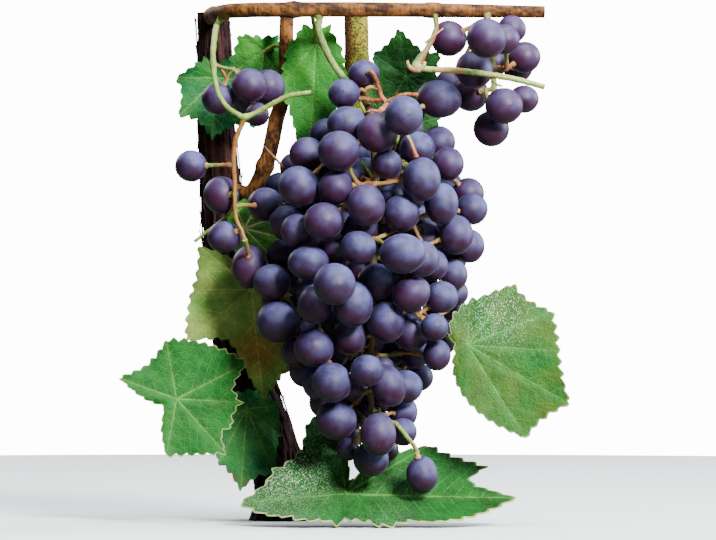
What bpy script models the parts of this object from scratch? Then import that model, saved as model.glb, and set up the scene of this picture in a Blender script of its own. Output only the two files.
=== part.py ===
"""A section of grapevine with its ripe bunch: trunk, canes, shoots, berries and leaves.

The vine is drawn in half millimetres: X to the right, Y to the back, Z up, with the
origin in the middle of the flat cut under the trunk. Berries, twigs and leaves are
worked out in that drawing, and only the last step turns them into metres.
"""

import bisect
import math
import random

import bmesh
import bpy
from mathutils import Matrix, Vector

# One drawing unit in metres, straight pieces between two drawn points, and the hair of air
# where a stem sits on its bearer or one berry or twig passes another.
UNIT = 0.0005
PIECES = 2
SEAT_GAP = 0.6
SEAT_STEP = 3
BERRY_GAP = 0.8
TWIG_GAP = 0.9

# Main bunch: its middle plane, and its half width at each height. The depth is a share
# of the width.
BUNCH_Y = -140
BUNCH_OUTLINE = (
    (40, 14, 92), (66, 28, 93), (86, 47, 88), (111, 52, 86), (141, 64, 87), (171, 82, 85),
    (206, 98, 83), (256, 98, 88), (296, 105, 94), (336, 107, 92), (376, 84, 94), (406, 60, 92),
    (436, 42, 88), (466, 22, 84),
)
BUNCH_DEPTH = 0.76

# Berries: the usual half length, and the half lengths tried where no drawn berry is. Those
# that close a gap lie deep behind the bunch's front, and above FULL_TOP the bunch stays open.
BERRY_SIZE = 18
LARGE_BERRY = (16.5, 20)
SMALL_BERRY = (14, 15.5)
ROUNDNESS = 0.95
GAP_BERRIES = (17, 14, 11.5)
GAP_TRIES = 4000
FULL_TOP = 392
RIGHT_TOP = 497
GAP_DEEP = 20
BACK_BERRY_TRIES = 700
BACK_STARTS = -0.25
CORE_SPACE = 5
STEP = 0.5
LEAST_HALF = 5

# Right-hand bunch, which hangs higher and further to the right.
RIGHT_Y = -135
RIGHT_OUTLINE = (
    (380, 14, 214), (400, 30, 212), (430, 44, 213), (465, 52, 214), (495, 46, 212), (506, 20, 210),
)

# Berries of the main bunch that face the front, nearest first:
# (x, z, half length, half width, angle of the long axis in degrees).
FRONT_BERRIES = (
    (54, 242, 21, 21, 0), (85, 320, 21, 19, 90), (121, 272, 23, 20, 0), (58, 374, 21, 20, 0),
    (122, 408, 20, 19, 90), (140, 346, 22, 19, 90), (77, 278, 18, 17, 0), (43, 304, 20, 19, 0),
    (18, 339, 21, 20, 135), (72, 222, 23, 20, 90), (86, 156, 17, 16, 0), (97, 92, 22, 18, 90),
    (51, 144, 20, 20, 0), (33, 178, 20, 19, 0), (-3, 204, 22, 21, 0), (-9, 244, 19, 18, 0),
    (28, 263, 21, 17, 0), (34, 221, 19, 17, 90), (160, 322, 21, 17, 90), (140, 267, 18, 18, 0),
    (130, 232, 20, 17, 35), (105, 204, 21, 19, 90), (95, 244, 19, 18, 90), (120, 312, 19, 18, 90),
    (96, 392, 20, 20, 90), (66, 401, 20, 18, 0), (136, 377, 18, 17, 0), (106, 361, 15, 15, 0),
    (68, 189, 18, 18, 0), (55, 106, 21, 20, 0), (107, 141, 22, 17, 112), (130, 194, 19, 18, 90),
    (134, 172, 16, 15, 90), (124, 139, 18, 17, 0), (122, 113, 17, 15, 90), (160, 229, 17, 16, 0),
    (151, 261, 16, 16, 0), (175, 291, 20, 17, 90), (167, 362, 17, 16, 90), (191, 317, 16, 16, 0),
    (189, 280, 17, 15, 90), (188, 333, 16, 16, 0), (158, 427, 23, 19, -8), (125, 398, 18, 18, 0),
    (63, 432, 16, 15, 0), (83, 452, 16, 14, 0), (26, 372, 18, 17, 0), (27, 336, 18, 18, 0),
)
# Berries seen in the gaps between those, free to lie behind the stem.
INNER_BERRIES = (
    (16, 295, 17, 16, 90), (6, 303, 18, 18, 0), (38, 144, 19, 17, 90), (16, 174, 16, 16, 0),
    (-6, 226, 14, 14, 0), (71, 114, 15, 15, 0), (65, 92, 15, 15, 0), (90, 67, 18, 18, 0),
    (104, 76, 14, 14, 0), (139, 148, 14, 14, 0), (122, 94, 14, 14, 0), (153, 199, 14, 14, 0),
    (134, 203, 14, 14, 0), (156, 171, 16, 14, 90), (172, 251, 16, 15, 90), (174, 233, 14, 14, 0),
    (172, 218, 14, 14, 0), (141, 51, 19, 16, 90), (55, 338, 17, 17, 0), (91, 185, 14, 14, 0),
    (110, 173, 15, 15, 0), (109, 331, 13, 13, 0), (81, 118, 12, 12, 0),
)
RIGHT_BERRIES = (
    (204, 485, 20, 20, 0), (222, 419, 19, 18, 0), (168, 488, 18, 18, 0), (193, 456, 19, 19, 0),
    (223, 485, 15, 15, 0), (190, 433, 18, 18, 0), (215, 465, 14, 14, 0), (238, 460, 15, 15, 0),
    (171, 442, 17, 17, 0), (210, 397, 18, 18, 0), (243, 427, 15, 14, 0),
)
# Small bunch and wing on the left shoot, with the depth that each drops back from.
SMALL_BERRIES = (
    (-32, 441, 18, 17, 0, -131), (-63, 428, 17, 16, 0, -126), (-14, 440, 18, 18, 0, -126),
    (-34, 429, 16, 16, 0, -120), (-24, 412, 12, 12, 0, -118),
)
WING_BERRIES = (
    (-32, 259, 22, 18, 90, -150), (-60, 331, 19, 18, 90, -130), (-57, 289, 17, 16, 0, -138),
    (-16, 322, 18, 17, 0, -146), (-90, 360, 16, 16, 0, -140),
)

# Wood and stems: points of the middle line with the radius there.
TRUNK = (
    ((0, 0, 0), 36), ((0, 0, 7), 33), ((0, 0, 16), 30), ((-3, 0, 36), 27), ((-12, 0, 80), 25),
    ((-32, 2, 141), 24),
    ((-52, 3, 201), 22), ((-61, 2, 311), 21), ((-66, 0, 386), 19), ((-70, 0, 476), 17),
    ((-72, 0, 520), 16),
)
FRUITING_CANE = (
    ((-68, -50, 515), 8), ((-50, -98, 517), 7.5), ((0, -124, 517), 7.5), ((80, -130, 517), 7.5),
    ((180, -126, 516), 7), ((264, -118, 515), 6),
)
BROWN_CANE = (
    ((-30, -30, 336), 8.5), ((-14, -42, 372), 8), ((-6, -50, 408), 8), ((3, -56, 440), 7.5),
    ((4, -60, 480), 7.5), ((5, -62, 520), 7),
)
LICHEN_CANE = (
    ((4, -8, 168), 14), ((34, -22, 205), 13.5), ((62, -32, 270), 13), ((73, -34, 350), 12.5),
    ((76, -36, 440), 12.5), ((75, -36, 520), 12),
)
BUNCH_STEM = (
    ((38, -128, 494), 3.6), ((49, -122, 468), 3.4), ((65, -122, 446), 3.6), ((84, -132, 428), 4.6),
    ((92, -139, 402), 4.6), ((94, -140, 350), 4.2), ((92, -140, 250), 3.8), ((90, -140, 150), 3.2),
    ((91, -140, 96), 2.4),
)
RIGHT_STEM = (
    ((207, -134, 496), 3.4), ((211, -136, 470), 3.2), ((213, -136, 440), 2.8), ((213, -136, 415), 2.2),
)
LEFT_SHOOT = (
    ((-66, -86, 501), 3), ((-67, -122, 488), 2.8), ((-68, -142, 472), 2.7), ((-67, -149, 456), 2.7),
    ((-65, -153, 443), 2.7), ((-61, -156, 429), 2.7), ((-53, -158, 418), 2.7), ((-43, -159, 411), 2.8),
    ((-36, -159, 408), 2.8), ((-24, -159, 413), 2.7), ((-8, -158, 422), 2.6), ((9, -156, 430), 2.5),
    ((30, -153, 433), 2.5),
)
LEFT_ARM = (
    ((-36, -159, 408), 2.6), ((-42, -157, 394), 2.6), ((-46, -155, 381), 2.5), ((-47, -153, 361), 2.4),
    ((-46, -151, 345), 2.3), ((-46, -150, 319), 2.2), ((-44, -150, 305), 2.1), ((-40, -150, 297), 2),
    ((-36, -150, 286), 2),
)
SMALL_LATERAL = (
    ((-67, -148, 461), 1.8), ((-57, -140, 458), 1.8), ((-48, -122, 457), 1.6), ((-44, -104, 456), 1.6),
)
RIGHT_SHOOT = (
    ((155, -146, 496), 2.6), ((147, -162, 478), 2.8), ((136, -174, 460), 3.6), ((146, -178, 455.5), 3),
    ((169, -181, 454.5), 3), ((184, -183, 453), 3), ((204, -185, 450.5), 3), ((219, -185, 448), 3),
    ((241, -183, 443.5), 2.9), ((262, -178, 438), 2.8),
)

# Leaves. place is where the veins meet; lean is how far the blade goes back for each step to
# the right, up, and down; cup bends the rim towards the front. tips lists, anticlockwise, each
# lobe's angle, its length and how deep the bay after it is. way is the petiole's route back.
LEAVES = {
    "leaf_left_front": dict(
        place=(-106, -92, 126), lean=(0.12, 0.2, 0.1), cup=10,
        tips=((-100, 58, 0.12), (-48, 74, 0.16), (-27, 63, 0.08), (-3, 66, 0.2), (27, 80, 0.1),
              (100, 60, 0.25), (160, 62, 0.75)),
        way=((-104, -50, 150), (-88, -36, 190)), carrier="trunk"),
    "leaf_lower_left": dict(
        place=(-36, -44, 115), lean=(0.1, 0.2, 0.12), cup=6,
        tips=((-150, 42, 0.1), (-118, 62, 0.1), (-94, 83, 0.12), (-67, 74, 0.14), (-38, 44, 0.1),
              (5, 32, 0.5)),
        way=((-38, -36, 128),), carrier="trunk"),
    "leaf_bottom": dict(
        place=(65, -112, 32), lean=(0.05, 0.5, 3.0), cup=0,
        tips=((-2, 172, 0.2), (10, 144, 0.08), (30, 97, 0.05), (38, 68, 0.86), (100, 83, 0),
              (120, 80, 0.22), (163, 78, 0.1), (184, 107, 0), (202, 60, 0), (228, 32, 0), (270, 24, 0),
              (312, 32, 0), (338, 66, 0)),
        way=((62, -92, 56), (48, -52, 110), (34, -44, 160)), carrier="lichen_cane"),
    "leaf_left_centre": dict(
        place=(-31, -58, 236), lean=(0.05, 0.05, 0), cup=5,
        tips=((-84, 114, 0.15), (-35, 78, 0.2), (20, 56, 0.2), (75, 42, 0.5), (140, 70, 0.1),
              (180, 60, 0.05), (218, 84, 0.42)),
        way=((-36, -46, 248),), carrier="trunk"),
    "leaf_left_inner": dict(
        place=(-38, -76, 298), lean=(0.1, 0.1, 0), cup=4,
        tips=((-14, 55, 0.15), (20, 50, 0.12), (60, 45, 0.2), (110, 30, 0.3), (200, 18, 0.1),
              (275, 34, 0.2), (315, 45, 0.12)),
        way=((-46, -50, 306),), carrier="trunk"),
    "leaf_top": dict(
        place=(34, -80, 486), lean=(0, 0.1, -0.05), cup=4,
        tips=((267, 138, 0.25), (305, 60, 0.2), (345, 28, 0.2), (410, 22, 0.3), (490, 22, 0.2),
              (548, 28, 0.2), (592, 60, 0.25)),
        way=((34, -96, 496),), carrier="fruiting_cane"),
    "leaf_top_right": dict(
        place=(126, -60, 451), lean=(-0.1, 0, 0), cup=1,
        tips=((35, 42, 0.3), (98, 50, 0.15), (145, 42, 0.15), (190, 36, 0.15), (235, 48, 0.2),
              (275, 56, 0.2), (322, 46, 0.3)),
        way=((116, -52, 455),), carrier="lichen_cane"),
    "leaf_top_left": dict(
        place=(-66, -44, 451), lean=(0.05, 0, 0), cup=5,
        tips=((180, 42, 0.2), (225, 56, 0.2), (265, 62, 0.15), (310, 58, 0.2), (355, 32, 0.2),
              (420, 22, 0.3), (480, 24, 0.2)),
        way=((-66, -34, 452),), carrier="trunk"),
    "leaf_top_inner": dict(
        place=(-19, -28, 478), lean=(0.05, 0, 0), cup=4,
        tips=((262, 80, 0.2), (300, 46, 0.2), (345, 26, 0.2), (410, 22, 0.4), (505, 30, 0.2),
              (572, 46, 0.2)),
        way=((-8, -32, 484),), carrier="brown_cane"),
    "leaf_right": dict(
        place=(186, -150, 181), lean=(-0.05, 0.35, 0.15), cup=4,
        tips=((-58, 110, 0.08), (-30, 118, 0.06), (-4, 92, 0.02), (22, 92, 0.1), (52, 77, 0.14),
              (86, 46, 0.84)),
        way=((166, -134, 190), (150, -70, 232)), carrier="lichen_cane"),
    "leaf_back_upper": dict(
        place=(104, 14, 400), lean=(0.1, 0.1, 0), cup=-8,
        tips=((268, 92, 0.25), (318, 78, 0.25), (372, 60, 0.3), (470, 48, 0.6), (528, 48, 0.3),
              (578, 70, 0.25)),
        way=((92, -4, 404),), carrier="lichen_cane"),
    "leaf_back_lower": dict(
        place=(-10, 44, 268), lean=(0.1, 0.1, 0), cup=-8,
        tips=((272, 100, 0.25), (322, 84, 0.25), (376, 64, 0.3), (464, 50, 0.6), (532, 50, 0.3),
              (582, 74, 0.25)),
        way=((-26, 34, 272),), carrier="trunk"),
}

# Blades: half thickness as a share of the longest lobe, and how finely the rim is drawn.
BLADE_SHARE = 0.0105
BAY_SHAPE = 0.8
STEPS_PER_LOBE = 3
RIB_ANGLE = 8
LEAST_STEP = 20
PETIOLE_RADIUS = 2.6

SEED = 7

# Twigs: how many laterals leave each stem, and how a pedicel looks for its way to one.
LATERALS = 18
NEAREST_HOLDS = 90
CORNER_TRIES = 80
CORNER_REACH = (3, 22)
NEAREST_TO_CORNER = 14
RIGHT_LATERALS = 4
GOLDEN_ANGLE = 137.5
FULL_TURNS = 24
LONG_LATERAL = 0.34
MIDDLE_LATERAL = 0.22
SHORT_LATERALS = (9, 6)
LATERAL_DROOP = 0.15
EVEN_HEIGHT = 0.7548777
EVEN_TURN = 0.5698403
TWIG_RADIUS = 1.7
PEDICEL_RADIUS = 1.3
BERRY_SIDES = 7
BERRY_RINGS = 4
BURIED_SHARE = 0.45
WELD = 0.02

COLOURS = {
    "bark": (0.07, 0.03, 0.025), "cane": (0.30, 0.16, 0.07), "lichen": (0.36, 0.30, 0.10),
    "stem": (0.36, 0.48, 0.16), "berry": (0.07, 0.06, 0.16), "leaf": (0.07, 0.28, 0.06),
}


# ---------------------------------------------------------------- drawing the layout


def at_height(outline, z):
    """Half width and middle of a bunch at height z, read between the outline's rows."""
    heights = [row[0] for row in outline]
    if not heights[0] < z < heights[-1]:
        row = outline[0] if z <= heights[0] else outline[-1]
        return row[1], row[2]
    upper = bisect.bisect_right(heights, z)
    low, high = outline[upper - 1], outline[upper]
    share = (z - low[0]) / (high[0] - low[0])
    return low[1] + share * (high[1] - low[1]), low[2] + share * (high[2] - low[2])


def smooth(rows, pieces):
    """The same middle line with points added between its rows on a Catmull-Rom curve."""
    points = [Vector(place) for place, _ in rows]
    radii = [radius for _, radius in rows]
    points = [2 * points[0] - points[1], *points, 2 * points[-1] - points[-2]]
    found = []
    for start in range(len(rows) - 1):
        a, b, c, d = points[start : start + 4]
        for step in range(pieces):
            t = step / pieces
            bend = 2 * b + (c - a) * t + (2 * a - 5 * b + 4 * c - d) * t**2
            place = (bend + (3 * b - a - 3 * c + d) * t**3) / 2
            found.append((place, radii[start] + (radii[start + 1] - radii[start]) * t))
    return [*found, (points[-2], radii[-1])]


class Berry:
    """An egg of revolution: its centre, its long axis, half its length and half its width."""

    def __init__(self, centre, axis, long, short):
        self.centre = Vector(centre)
        self.axis = Vector(axis).normalized()
        self.long = long
        self.short = short

    def reach(self, way):
        """How far the berry reaches from its centre along a unit vector."""
        along = way.dot(self.axis) ** 2
        return math.sqrt(self.short**2 * (1 - along) + self.long**2 * along)

    def clears(self, other, gap=BERRY_GAP):
        way = other.centre - self.centre
        far = way.length
        if far > self.long + other.long + gap:
            return True
        return far > 0 and far > self.reach(way / far) + other.reach(way / far) + gap

    def clears_rod(self, start, end, radius, gap=TWIG_GAP):
        along = end - start
        share = (self.centre - start).dot(along) / along.length_squared
        way = start + along * min(1, max(0, share)) - self.centre
        far = way.length
        if far > self.long + radius + gap:
            return True
        return far > 0 and far > self.reach(way / far) + radius + gap


def rods_of(line):
    """The straight pieces of a middle line, each with its larger radius."""
    return [(a, b, max(ra, rb)) for (a, ra), (b, rb) in zip(line, line[1:])]


def free(berry, berries, rods):
    """True where the berry touches neither a berry nor a stem."""
    return all(berry.clears(other) for other in berries) and all(berry.clears_rod(*rod) for rod in rods)


def picture_axis(angle):
    return Vector((math.cos(math.radians(angle)), 0, math.sin(math.radians(angle))))


def drop_back(row, start, berries, rods):
    """A berry at its place, pushed back from start until nothing touches it."""
    x, z, long, short, angle = row
    berry = Berry((x, start, z), picture_axis(angle), long, short)
    while not free(berry, berries, rods):
        berry.centre.y += STEP
    return berry


def front_of(outline, middle, x, z):
    """Depth of the bunch's front skin at a place, for the centre of a berry."""
    half, centre = at_height(outline, z)
    half = max(half - BERRY_SIZE, LEAST_HALF)
    across = min(1, abs(x - centre) / half)
    return middle - BUNCH_DEPTH * half * math.sqrt(1 - across**2)


def step_behind(front, back):
    """How far a berry must lie behind another, seen from the front, to clear it."""
    berry = Berry((back.centre.x, front.centre.y, back.centre.z), back.axis, back.long, back.short)
    step = 0
    while not berry.clears(front, BERRY_GAP + STEP / 5):
        step += STEP
        berry.centre.y += STEP
    return step


def before_stem(berry, middle, rods):
    """The furthest back that a berry's centre may lie and still be in front of the stem."""
    behind = middle + 2 * BERRY_SIZE
    test = Berry((berry.centre.x, behind, berry.centre.z), berry.axis, berry.long, berry.short)
    blocked = False
    while test.centre.y > middle - 3 * BERRY_SIZE:
        touching = not all(test.clears_rod(*rod) for rod in rods)
        if blocked and not touching:
            return test.centre.y
        blocked = blocked or touching
        test.centre.y -= STEP
    return test.centre.y if blocked else behind


def place_front(table, outline, middle, berries, rods, core):
    """Rows of berries, nearest first: each stays before the stem and behind the rows before it."""
    front = [Berry((x, 0, z), picture_axis(angle), long, short) for x, z, long, short, angle in table]
    latest = [before_stem(berry, middle, core) for berry in front]
    steps = {}
    for back in range(len(front) - 1, -1, -1):
        for near in range(back):
            step = step_behind(front[near], front[back])
            if step:
                steps[near, back] = step
    for back in range(len(front) - 1, -1, -1):
        for near in range(back):
            if (near, back) in steps:
                latest[near] = min(latest[near], latest[back] - steps[near, back])
    for back, berry in enumerate(front):
        berry.centre.y = min(front_of(outline, middle, berry.centre.x, berry.centre.z), latest[back])
        for near in range(back):
            if (near, back) in steps:
                berry.centre.y = max(berry.centre.y, front[near].centre.y + steps[near, back])
        while not free(berry, berries, rods + core):
            berry.centre.y += STEP
        berries.append(berry)


def covered(x, z, berries):
    """True where some berry hides a place from the front."""
    return any(math.hypot(x - berry.centre.x, z - berry.centre.z) < berry.short for berry in berries)


def fill_gaps(outline, middle, top, tries, berries, rods):
    """Puts a berry behind each gap that the others leave open, seen from the front."""
    low = outline[0][0] + BERRY_SIZE
    for number in range(tries):
        z = low + (top - low) * ((number * EVEN_HEIGHT) % 1)
        half, centre = at_height(outline, z)
        half -= BERRY_SIZE / 2
        x = centre + half * (2 * ((number * EVEN_TURN) % 1) - 1)
        if covered(x, z, berries):
            continue
        start = front_of(outline, middle, x, z) + GAP_DEEP
        for size in GAP_BERRIES:
            berry = drop_back((x, z, size, size, 0), start, berries, rods)
            if berry.centre.y < middle + BUNCH_DEPTH * half + BERRY_SIZE:
                berries.append(berry)
                break


def place_back(outline, middle, top, tries, berries, rods, rng):
    """Fills the sides and the back of a bunch with evenly scattered berries."""
    low = outline[0][0] + BERRY_SIZE
    for number in range(tries):
        z = top - (top - low) * ((number * EVEN_HEIGHT) % 1)
        angle = 2 * math.pi * ((number * EVEN_TURN) % 1)
        half, centre = at_height(outline, z)
        half = max(half - BERRY_SIZE, LEAST_HALF)
        out = Vector((math.cos(angle), math.sin(angle) * BUNCH_DEPTH, 0)) * half
        axis = out.normalized() + Vector((0, 0, rng.uniform(-0.6, 0.2)))
        sizes = (rng.uniform(*LARGE_BERRY), rng.uniform(*SMALL_BERRY))
        if out.y < BACK_STARTS * half:
            continue
        heart = Vector((centre, middle, z))
        for long in sizes:
            berry = Berry(heart + out, axis, long, long * ROUNDNESS)
            if not free(berry, berries, rods):
                continue
            inward = out.normalized() * STEP
            while free(berry, berries, rods) and (berry.centre - heart).length > LEAST_HALF:
                berry.centre -= inward
            berry.centre += inward
            berries.append(berry)
            break


def rim(tips, angle):
    """Distance from the veins' meeting point to the leaf's rim at an angle in degrees."""
    around = (*tips, (tips[0][0] + 360, *tips[0][1:]))
    angle = tips[0][0] + (angle - tips[0][0]) % 360
    for (start, reach, bay), (end, next_reach, _) in zip(around, around[1:]):
        if angle <= end:
            share = (angle - start) / (end - start)
            straight = reach + (next_reach - reach) * share
            return straight * (1 - bay * math.sin(math.pi * share) ** BAY_SHAPE)


def blade_point(leaf, angle, reach):
    """A point of the blade: its place in the front view, then its depth."""
    right = reach * math.cos(math.radians(angle))
    up = reach * math.sin(math.radians(angle))
    lean_right, lean_up, lean_down = leaf["lean"]
    longest = max(tip[1] for tip in leaf["tips"])
    back = lean_right * right + (lean_up if up > 0 else lean_down) * up
    back -= leaf["cup"] * (reach / longest) ** 2
    return Vector(leaf["place"]) + Vector((right, back, up))


def seat_on(line, toward):
    """Where a stem that comes from a point meets a limb, a hair clear of the bark."""
    best = None
    for (a, ra), (b, rb) in zip(line, line[1:]):
        along = b - a
        share = min(1, max(0, (toward - a).dot(along) / along.length_squared))
        place = a + along * share
        if best is None or (toward - place).length < best[0]:
            best = ((toward - place).length, place, ra + (rb - ra) * share)
    _, place, radius = best
    out = (toward - place).normalized()
    return place + out * (radius + SEAT_GAP), out


def hung(rows, carrier):
    """A limb's middle line, begun a hair clear of the limb that carries it."""
    first, radius = rows[0]
    seat, out = seat_on(carrier, Vector(first))
    return [(seat, radius), *smooth(((seat + out * SEAT_STEP, radius), *rows), PIECES)]


def petiole_line(leaf, carriers):
    """The petiole's middle line, from the blade to its seat on the limb that bears it."""
    points = [Vector(leaf["place"]) + Vector((0, -1, 0)), *[Vector(point) for point in leaf["way"]]]
    seat, out = seat_on(carriers[leaf["carrier"]], points[-1])
    if (points[-1] - seat).length > 3 * SEAT_STEP:
        points.append(seat + out * 2 * SEAT_STEP)
    points.append(seat)
    return [(point, PETIOLE_RADIUS) for point in points]


# ---------------------------------------------------------------- growing the twigs


def between(start, end, other_start, other_end):
    """Least distance between two straight pieces, tested at steps along the first."""
    steps = max(2, int((end - start).length / 3))
    along = other_end - other_start
    least = 1e9
    for step in range(steps + 1):
        point = start.lerp(end, step / steps)
        share = min(1, max(0, (point - other_start).dot(along) / along.length_squared))
        least = min(least, (other_start + along * share - point).length)
    return least


class Twigs:
    """All laterals of one bunch. Each is a tree of straight pieces that bears berries."""

    def __init__(self, berries, rods):
        self.berries = berries
        self.rods = rods
        self.trees = []

    def open_way(self, start, end, tree, skip=None):
        """True where a twig from start to end misses every berry, stem and other tree."""
        for berry in self.berries:
            if berry is not skip and not berry.clears_rod(start, end, PEDICEL_RADIUS):
                return False
        for a, b, radius in self.rods:
            if between(start, end, a, b) < radius + PEDICEL_RADIUS + TWIG_GAP:
                return False
        for number, pieces in enumerate(self.trees):
            if number == tree:
                continue
            for a, b, radius in pieces:
                if between(start, end, a, b) < radius + PEDICEL_RADIUS + TWIG_GAP:
                    return False
        return True

    def holds(self, allowed):
        """Points where a new twig can start: (place, number of the tree)."""
        found = []
        for number in allowed:
            for start, end, _ in self.trees[number]:
                steps = max(1, int((end - start).length / 5))
                found += [(start.lerp(end, (step + 1) / steps), number) for step in range(steps)]
        return found

    def join(self, berry, rng, allowed):
        """Joins a berry to the nearest twig it can reach, straight or round one corner."""
        holds = sorted(self.holds(allowed), key=lambda hold: (hold[0] - berry.centre).length)
        for place, number in holds[:NEAREST_HOLDS]:
            if self.open_way(place, berry.centre, number, berry):
                self.grow(number, [place], berry)
                return
        for _ in range(CORNER_TRIES):
            way = Vector([rng.gauss(0, 1) for _ in range(3)]).normalized()
            corner = berry.centre + way * (berry.long + rng.uniform(*CORNER_REACH))
            if not self.open_way(corner, berry.centre, -1, berry):
                continue
            nearest = sorted(holds, key=lambda hold: (hold[0] - corner).length)
            for place, number in nearest[:NEAREST_TO_CORNER]:
                inner_way = self.open_way(place, corner, number)
                if inner_way and self.open_way(corner, berry.centre, number, berry):
                    self.grow(number, [place, corner], berry)
                    return
        raise ValueError(f"no twig reaches the berry at {berry.centre}")

    def grow(self, number, route, berry):
        berry.tree = number
        berry.route = route
        for start, end in zip(route, [*route[1:], berry.centre]):
            stop = end
            if end is berry.centre:
                way = (end - start).normalized()
                stop = end - way * berry.reach(way)
            if (stop - start).length > STEP:
                self.trees[number].append((start, stop, PEDICEL_RADIUS))


def along_line(line, share):
    """Point, radius and direction at a share of a middle line's length."""
    lengths = [(b[0] - a[0]).length for a, b in zip(line, line[1:])]
    left = share * sum(lengths)
    for (a, ra), (b, rb), length in zip(line, line[1:], lengths):
        if left <= length:
            t = left / length
            return a.lerp(b, t), ra + (rb - ra) * t, (b - a).normalized()
        left -= length
    a, b = line[-2][0], line[-1][0]
    return b, line[-1][1], (b - a).normalized()


def first_twig(twigs, place, radius, up, number, half):
    """A lateral's first straight piece: it leaves the stem where it first finds room."""
    side = up.orthogonal().normalized()
    for turn in range(FULL_TURNS):
        angle = (number + turn) * GOLDEN_ANGLE
        out = Matrix.Rotation(math.radians(angle), 3, up) @ side
        start = place + out * (radius + SEAT_GAP)
        for length in (LONG_LATERAL * half, MIDDLE_LATERAL * half, *SHORT_LATERALS):
            end = start + out * length - Vector((0, 0, LATERAL_DROOP * length))
            if not all(b.clears_rod(start, end, TWIG_RADIUS) for b in twigs.berries):
                continue
            near = [between(start, end, a, b) - r for tree in twigs.trees for a, b, r in tree]
            if not near or min(near) >= TWIG_RADIUS + 2 * TWIG_GAP:
                return (start, end, TWIG_RADIUS)
    return None


def seed_laterals(twigs, line, count, first, outline):
    """Starts the laterals on the bunch's stem, turned by the golden angle from each to the next."""
    for number in range(count):
        share = first + (1 - first) * number / count
        place, radius, up = along_line(line, share)
        half, _ = at_height(outline, place.z)
        piece = first_twig(twigs, place, radius, up, number, half)
        if piece:
            twigs.trees.append([piece])


def grow_bunch(name, line, outline, berries, taken, rods, count, first, rng):
    """Laterals and pedicels of one bunch, as {node name: (berries, straight pieces)}."""
    twigs = Twigs(taken, rods)
    seed_laterals(twigs, line, count, first, outline)

    def from_stem(berry):
        return min((berry.centre - place).length for place, _ in line)

    for berry in sorted(berries, key=from_stem):
        twigs.join(berry, rng, range(len(twigs.trees)))
    bearing = sorted({berry.tree for berry in berries})
    groups = {}
    for number, tree in enumerate(bearing, 1):
        group = [berry for berry in berries if berry.tree == tree]
        groups[f"{name}_{number:02d}"] = (group, twigs.trees[tree])
    return groups


def limb_lines():
    """The middle lines of the wood and of the green stems, by name."""
    limbs = {"trunk": smooth(TRUNK, PIECES)}
    canes = {"fruiting_cane": FRUITING_CANE, "brown_cane": BROWN_CANE, "lichen_cane": LICHEN_CANE}
    stems = {"bunch_stem": BUNCH_STEM, "right_stem": RIGHT_STEM}
    stems |= {"left_shoot": LEFT_SHOOT, "right_shoot": RIGHT_SHOOT}
    for name, rows in canes.items():
        limbs[name] = hung(rows, limbs["trunk"])
    for name, rows in stems.items():
        limbs[name] = hung(rows, limbs["fruiting_cane"])
    limbs["left_arm"] = smooth(LEFT_ARM, PIECES)
    limbs["small_lateral"] = smooth(SMALL_LATERAL, PIECES)
    return limbs


def blade_ribs(leaf):
    """Straight pieces across a blade, which berries keep clear of."""
    place = Vector(leaf["place"])
    angles = range(0, 360, RIB_ANGLE)
    return [(place, blade_point(leaf, angle, rim(leaf["tips"], angle)), 2) for angle in angles]


def layout(limbs):
    """Places every berry and grows every twig: ({node: (berries, pieces)}, the left shoot's berries)."""
    rng = random.Random(SEED)
    stem, right = limbs["bunch_stem"], limbs["right_stem"]
    others = [line for name, line in limbs.items() if name not in ("bunch_stem", "right_stem")]
    others += [petiole_line(leaf, limbs) for leaf in LEAVES.values()]
    fixed = [rod for line in others for rod in rods_of(line)]
    ribs = [rib for leaf in LEAVES.values() for rib in blade_ribs(leaf)]
    blades = fixed + ribs
    core = [(a, b, radius + CORE_SPACE) for a, b, radius in rods_of(stem)]
    right_core = [(a, b, radius + CORE_SPACE) for a, b, radius in rods_of(right)]
    taken = []
    place_front(FRONT_BERRIES, BUNCH_OUTLINE, BUNCH_Y, taken, fixed, core)
    for row in INNER_BERRIES:
        start = front_of(BUNCH_OUTLINE, BUNCH_Y, row[0], row[1])
        taken.append(drop_back(row, start, taken, fixed + core))
    left = []
    for row in (*SMALL_BERRIES, *WING_BERRIES):
        left.append(drop_back(row[:5], row[5], taken, fixed))
        taken.append(left[-1])
    fill_gaps(BUNCH_OUTLINE, BUNCH_Y, FULL_TOP, GAP_TRIES, taken, blades + core)
    place_back(BUNCH_OUTLINE, BUNCH_Y, FULL_TOP, BACK_BERRY_TRIES, taken, blades + core, rng)
    main = [berry for berry in taken if berry not in left]
    place_front(RIGHT_BERRIES, RIGHT_OUTLINE, RIGHT_Y, taken, fixed, right_core)
    place_back(RIGHT_OUTLINE, RIGHT_Y, RIGHT_TOP, BACK_BERRY_TRIES, taken, blades + right_core, rng)
    side = taken[len(main) + len(left) :]
    near = rods_of(stem) + blades
    groups = grow_bunch("bunch_lateral", stem, BUNCH_OUTLINE, main, taken, near, LATERALS, 0.2, rng)
    near = rods_of(right) + rods_of(limbs["right_shoot"])
    groups |= grow_bunch("right_lateral", right, RIGHT_OUTLINE, side, taken, near, RIGHT_LATERALS, 0.1, rng)
    twigs = Twigs(taken, ribs + [piece for _, pieces in groups.values() for piece in pieces])
    twigs.trees = [rods_of(limbs["small_lateral"]), rods_of(limbs["left_arm"])]
    for number, berry in enumerate(left):
        twigs.join(berry, rng, (0 if number < len(SMALL_BERRIES) else 1,))
    return groups, left


# ---------------------------------------------------------------- making the solids


def material(name):
    """A Principled material in one of the plant's colours."""
    made = bpy.data.materials.get(name)
    if made is None:
        made = bpy.data.materials.new(name)
        made.use_nodes = True
        shader = made.node_tree.nodes["Principled BSDF"]
        shader.inputs["Base Color"].default_value = (*COLOURS[name], 1)
        shader.inputs["Roughness"].default_value = 0.6
        made.diffuse_color = (*COLOURS[name], 1)
    return made


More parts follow.
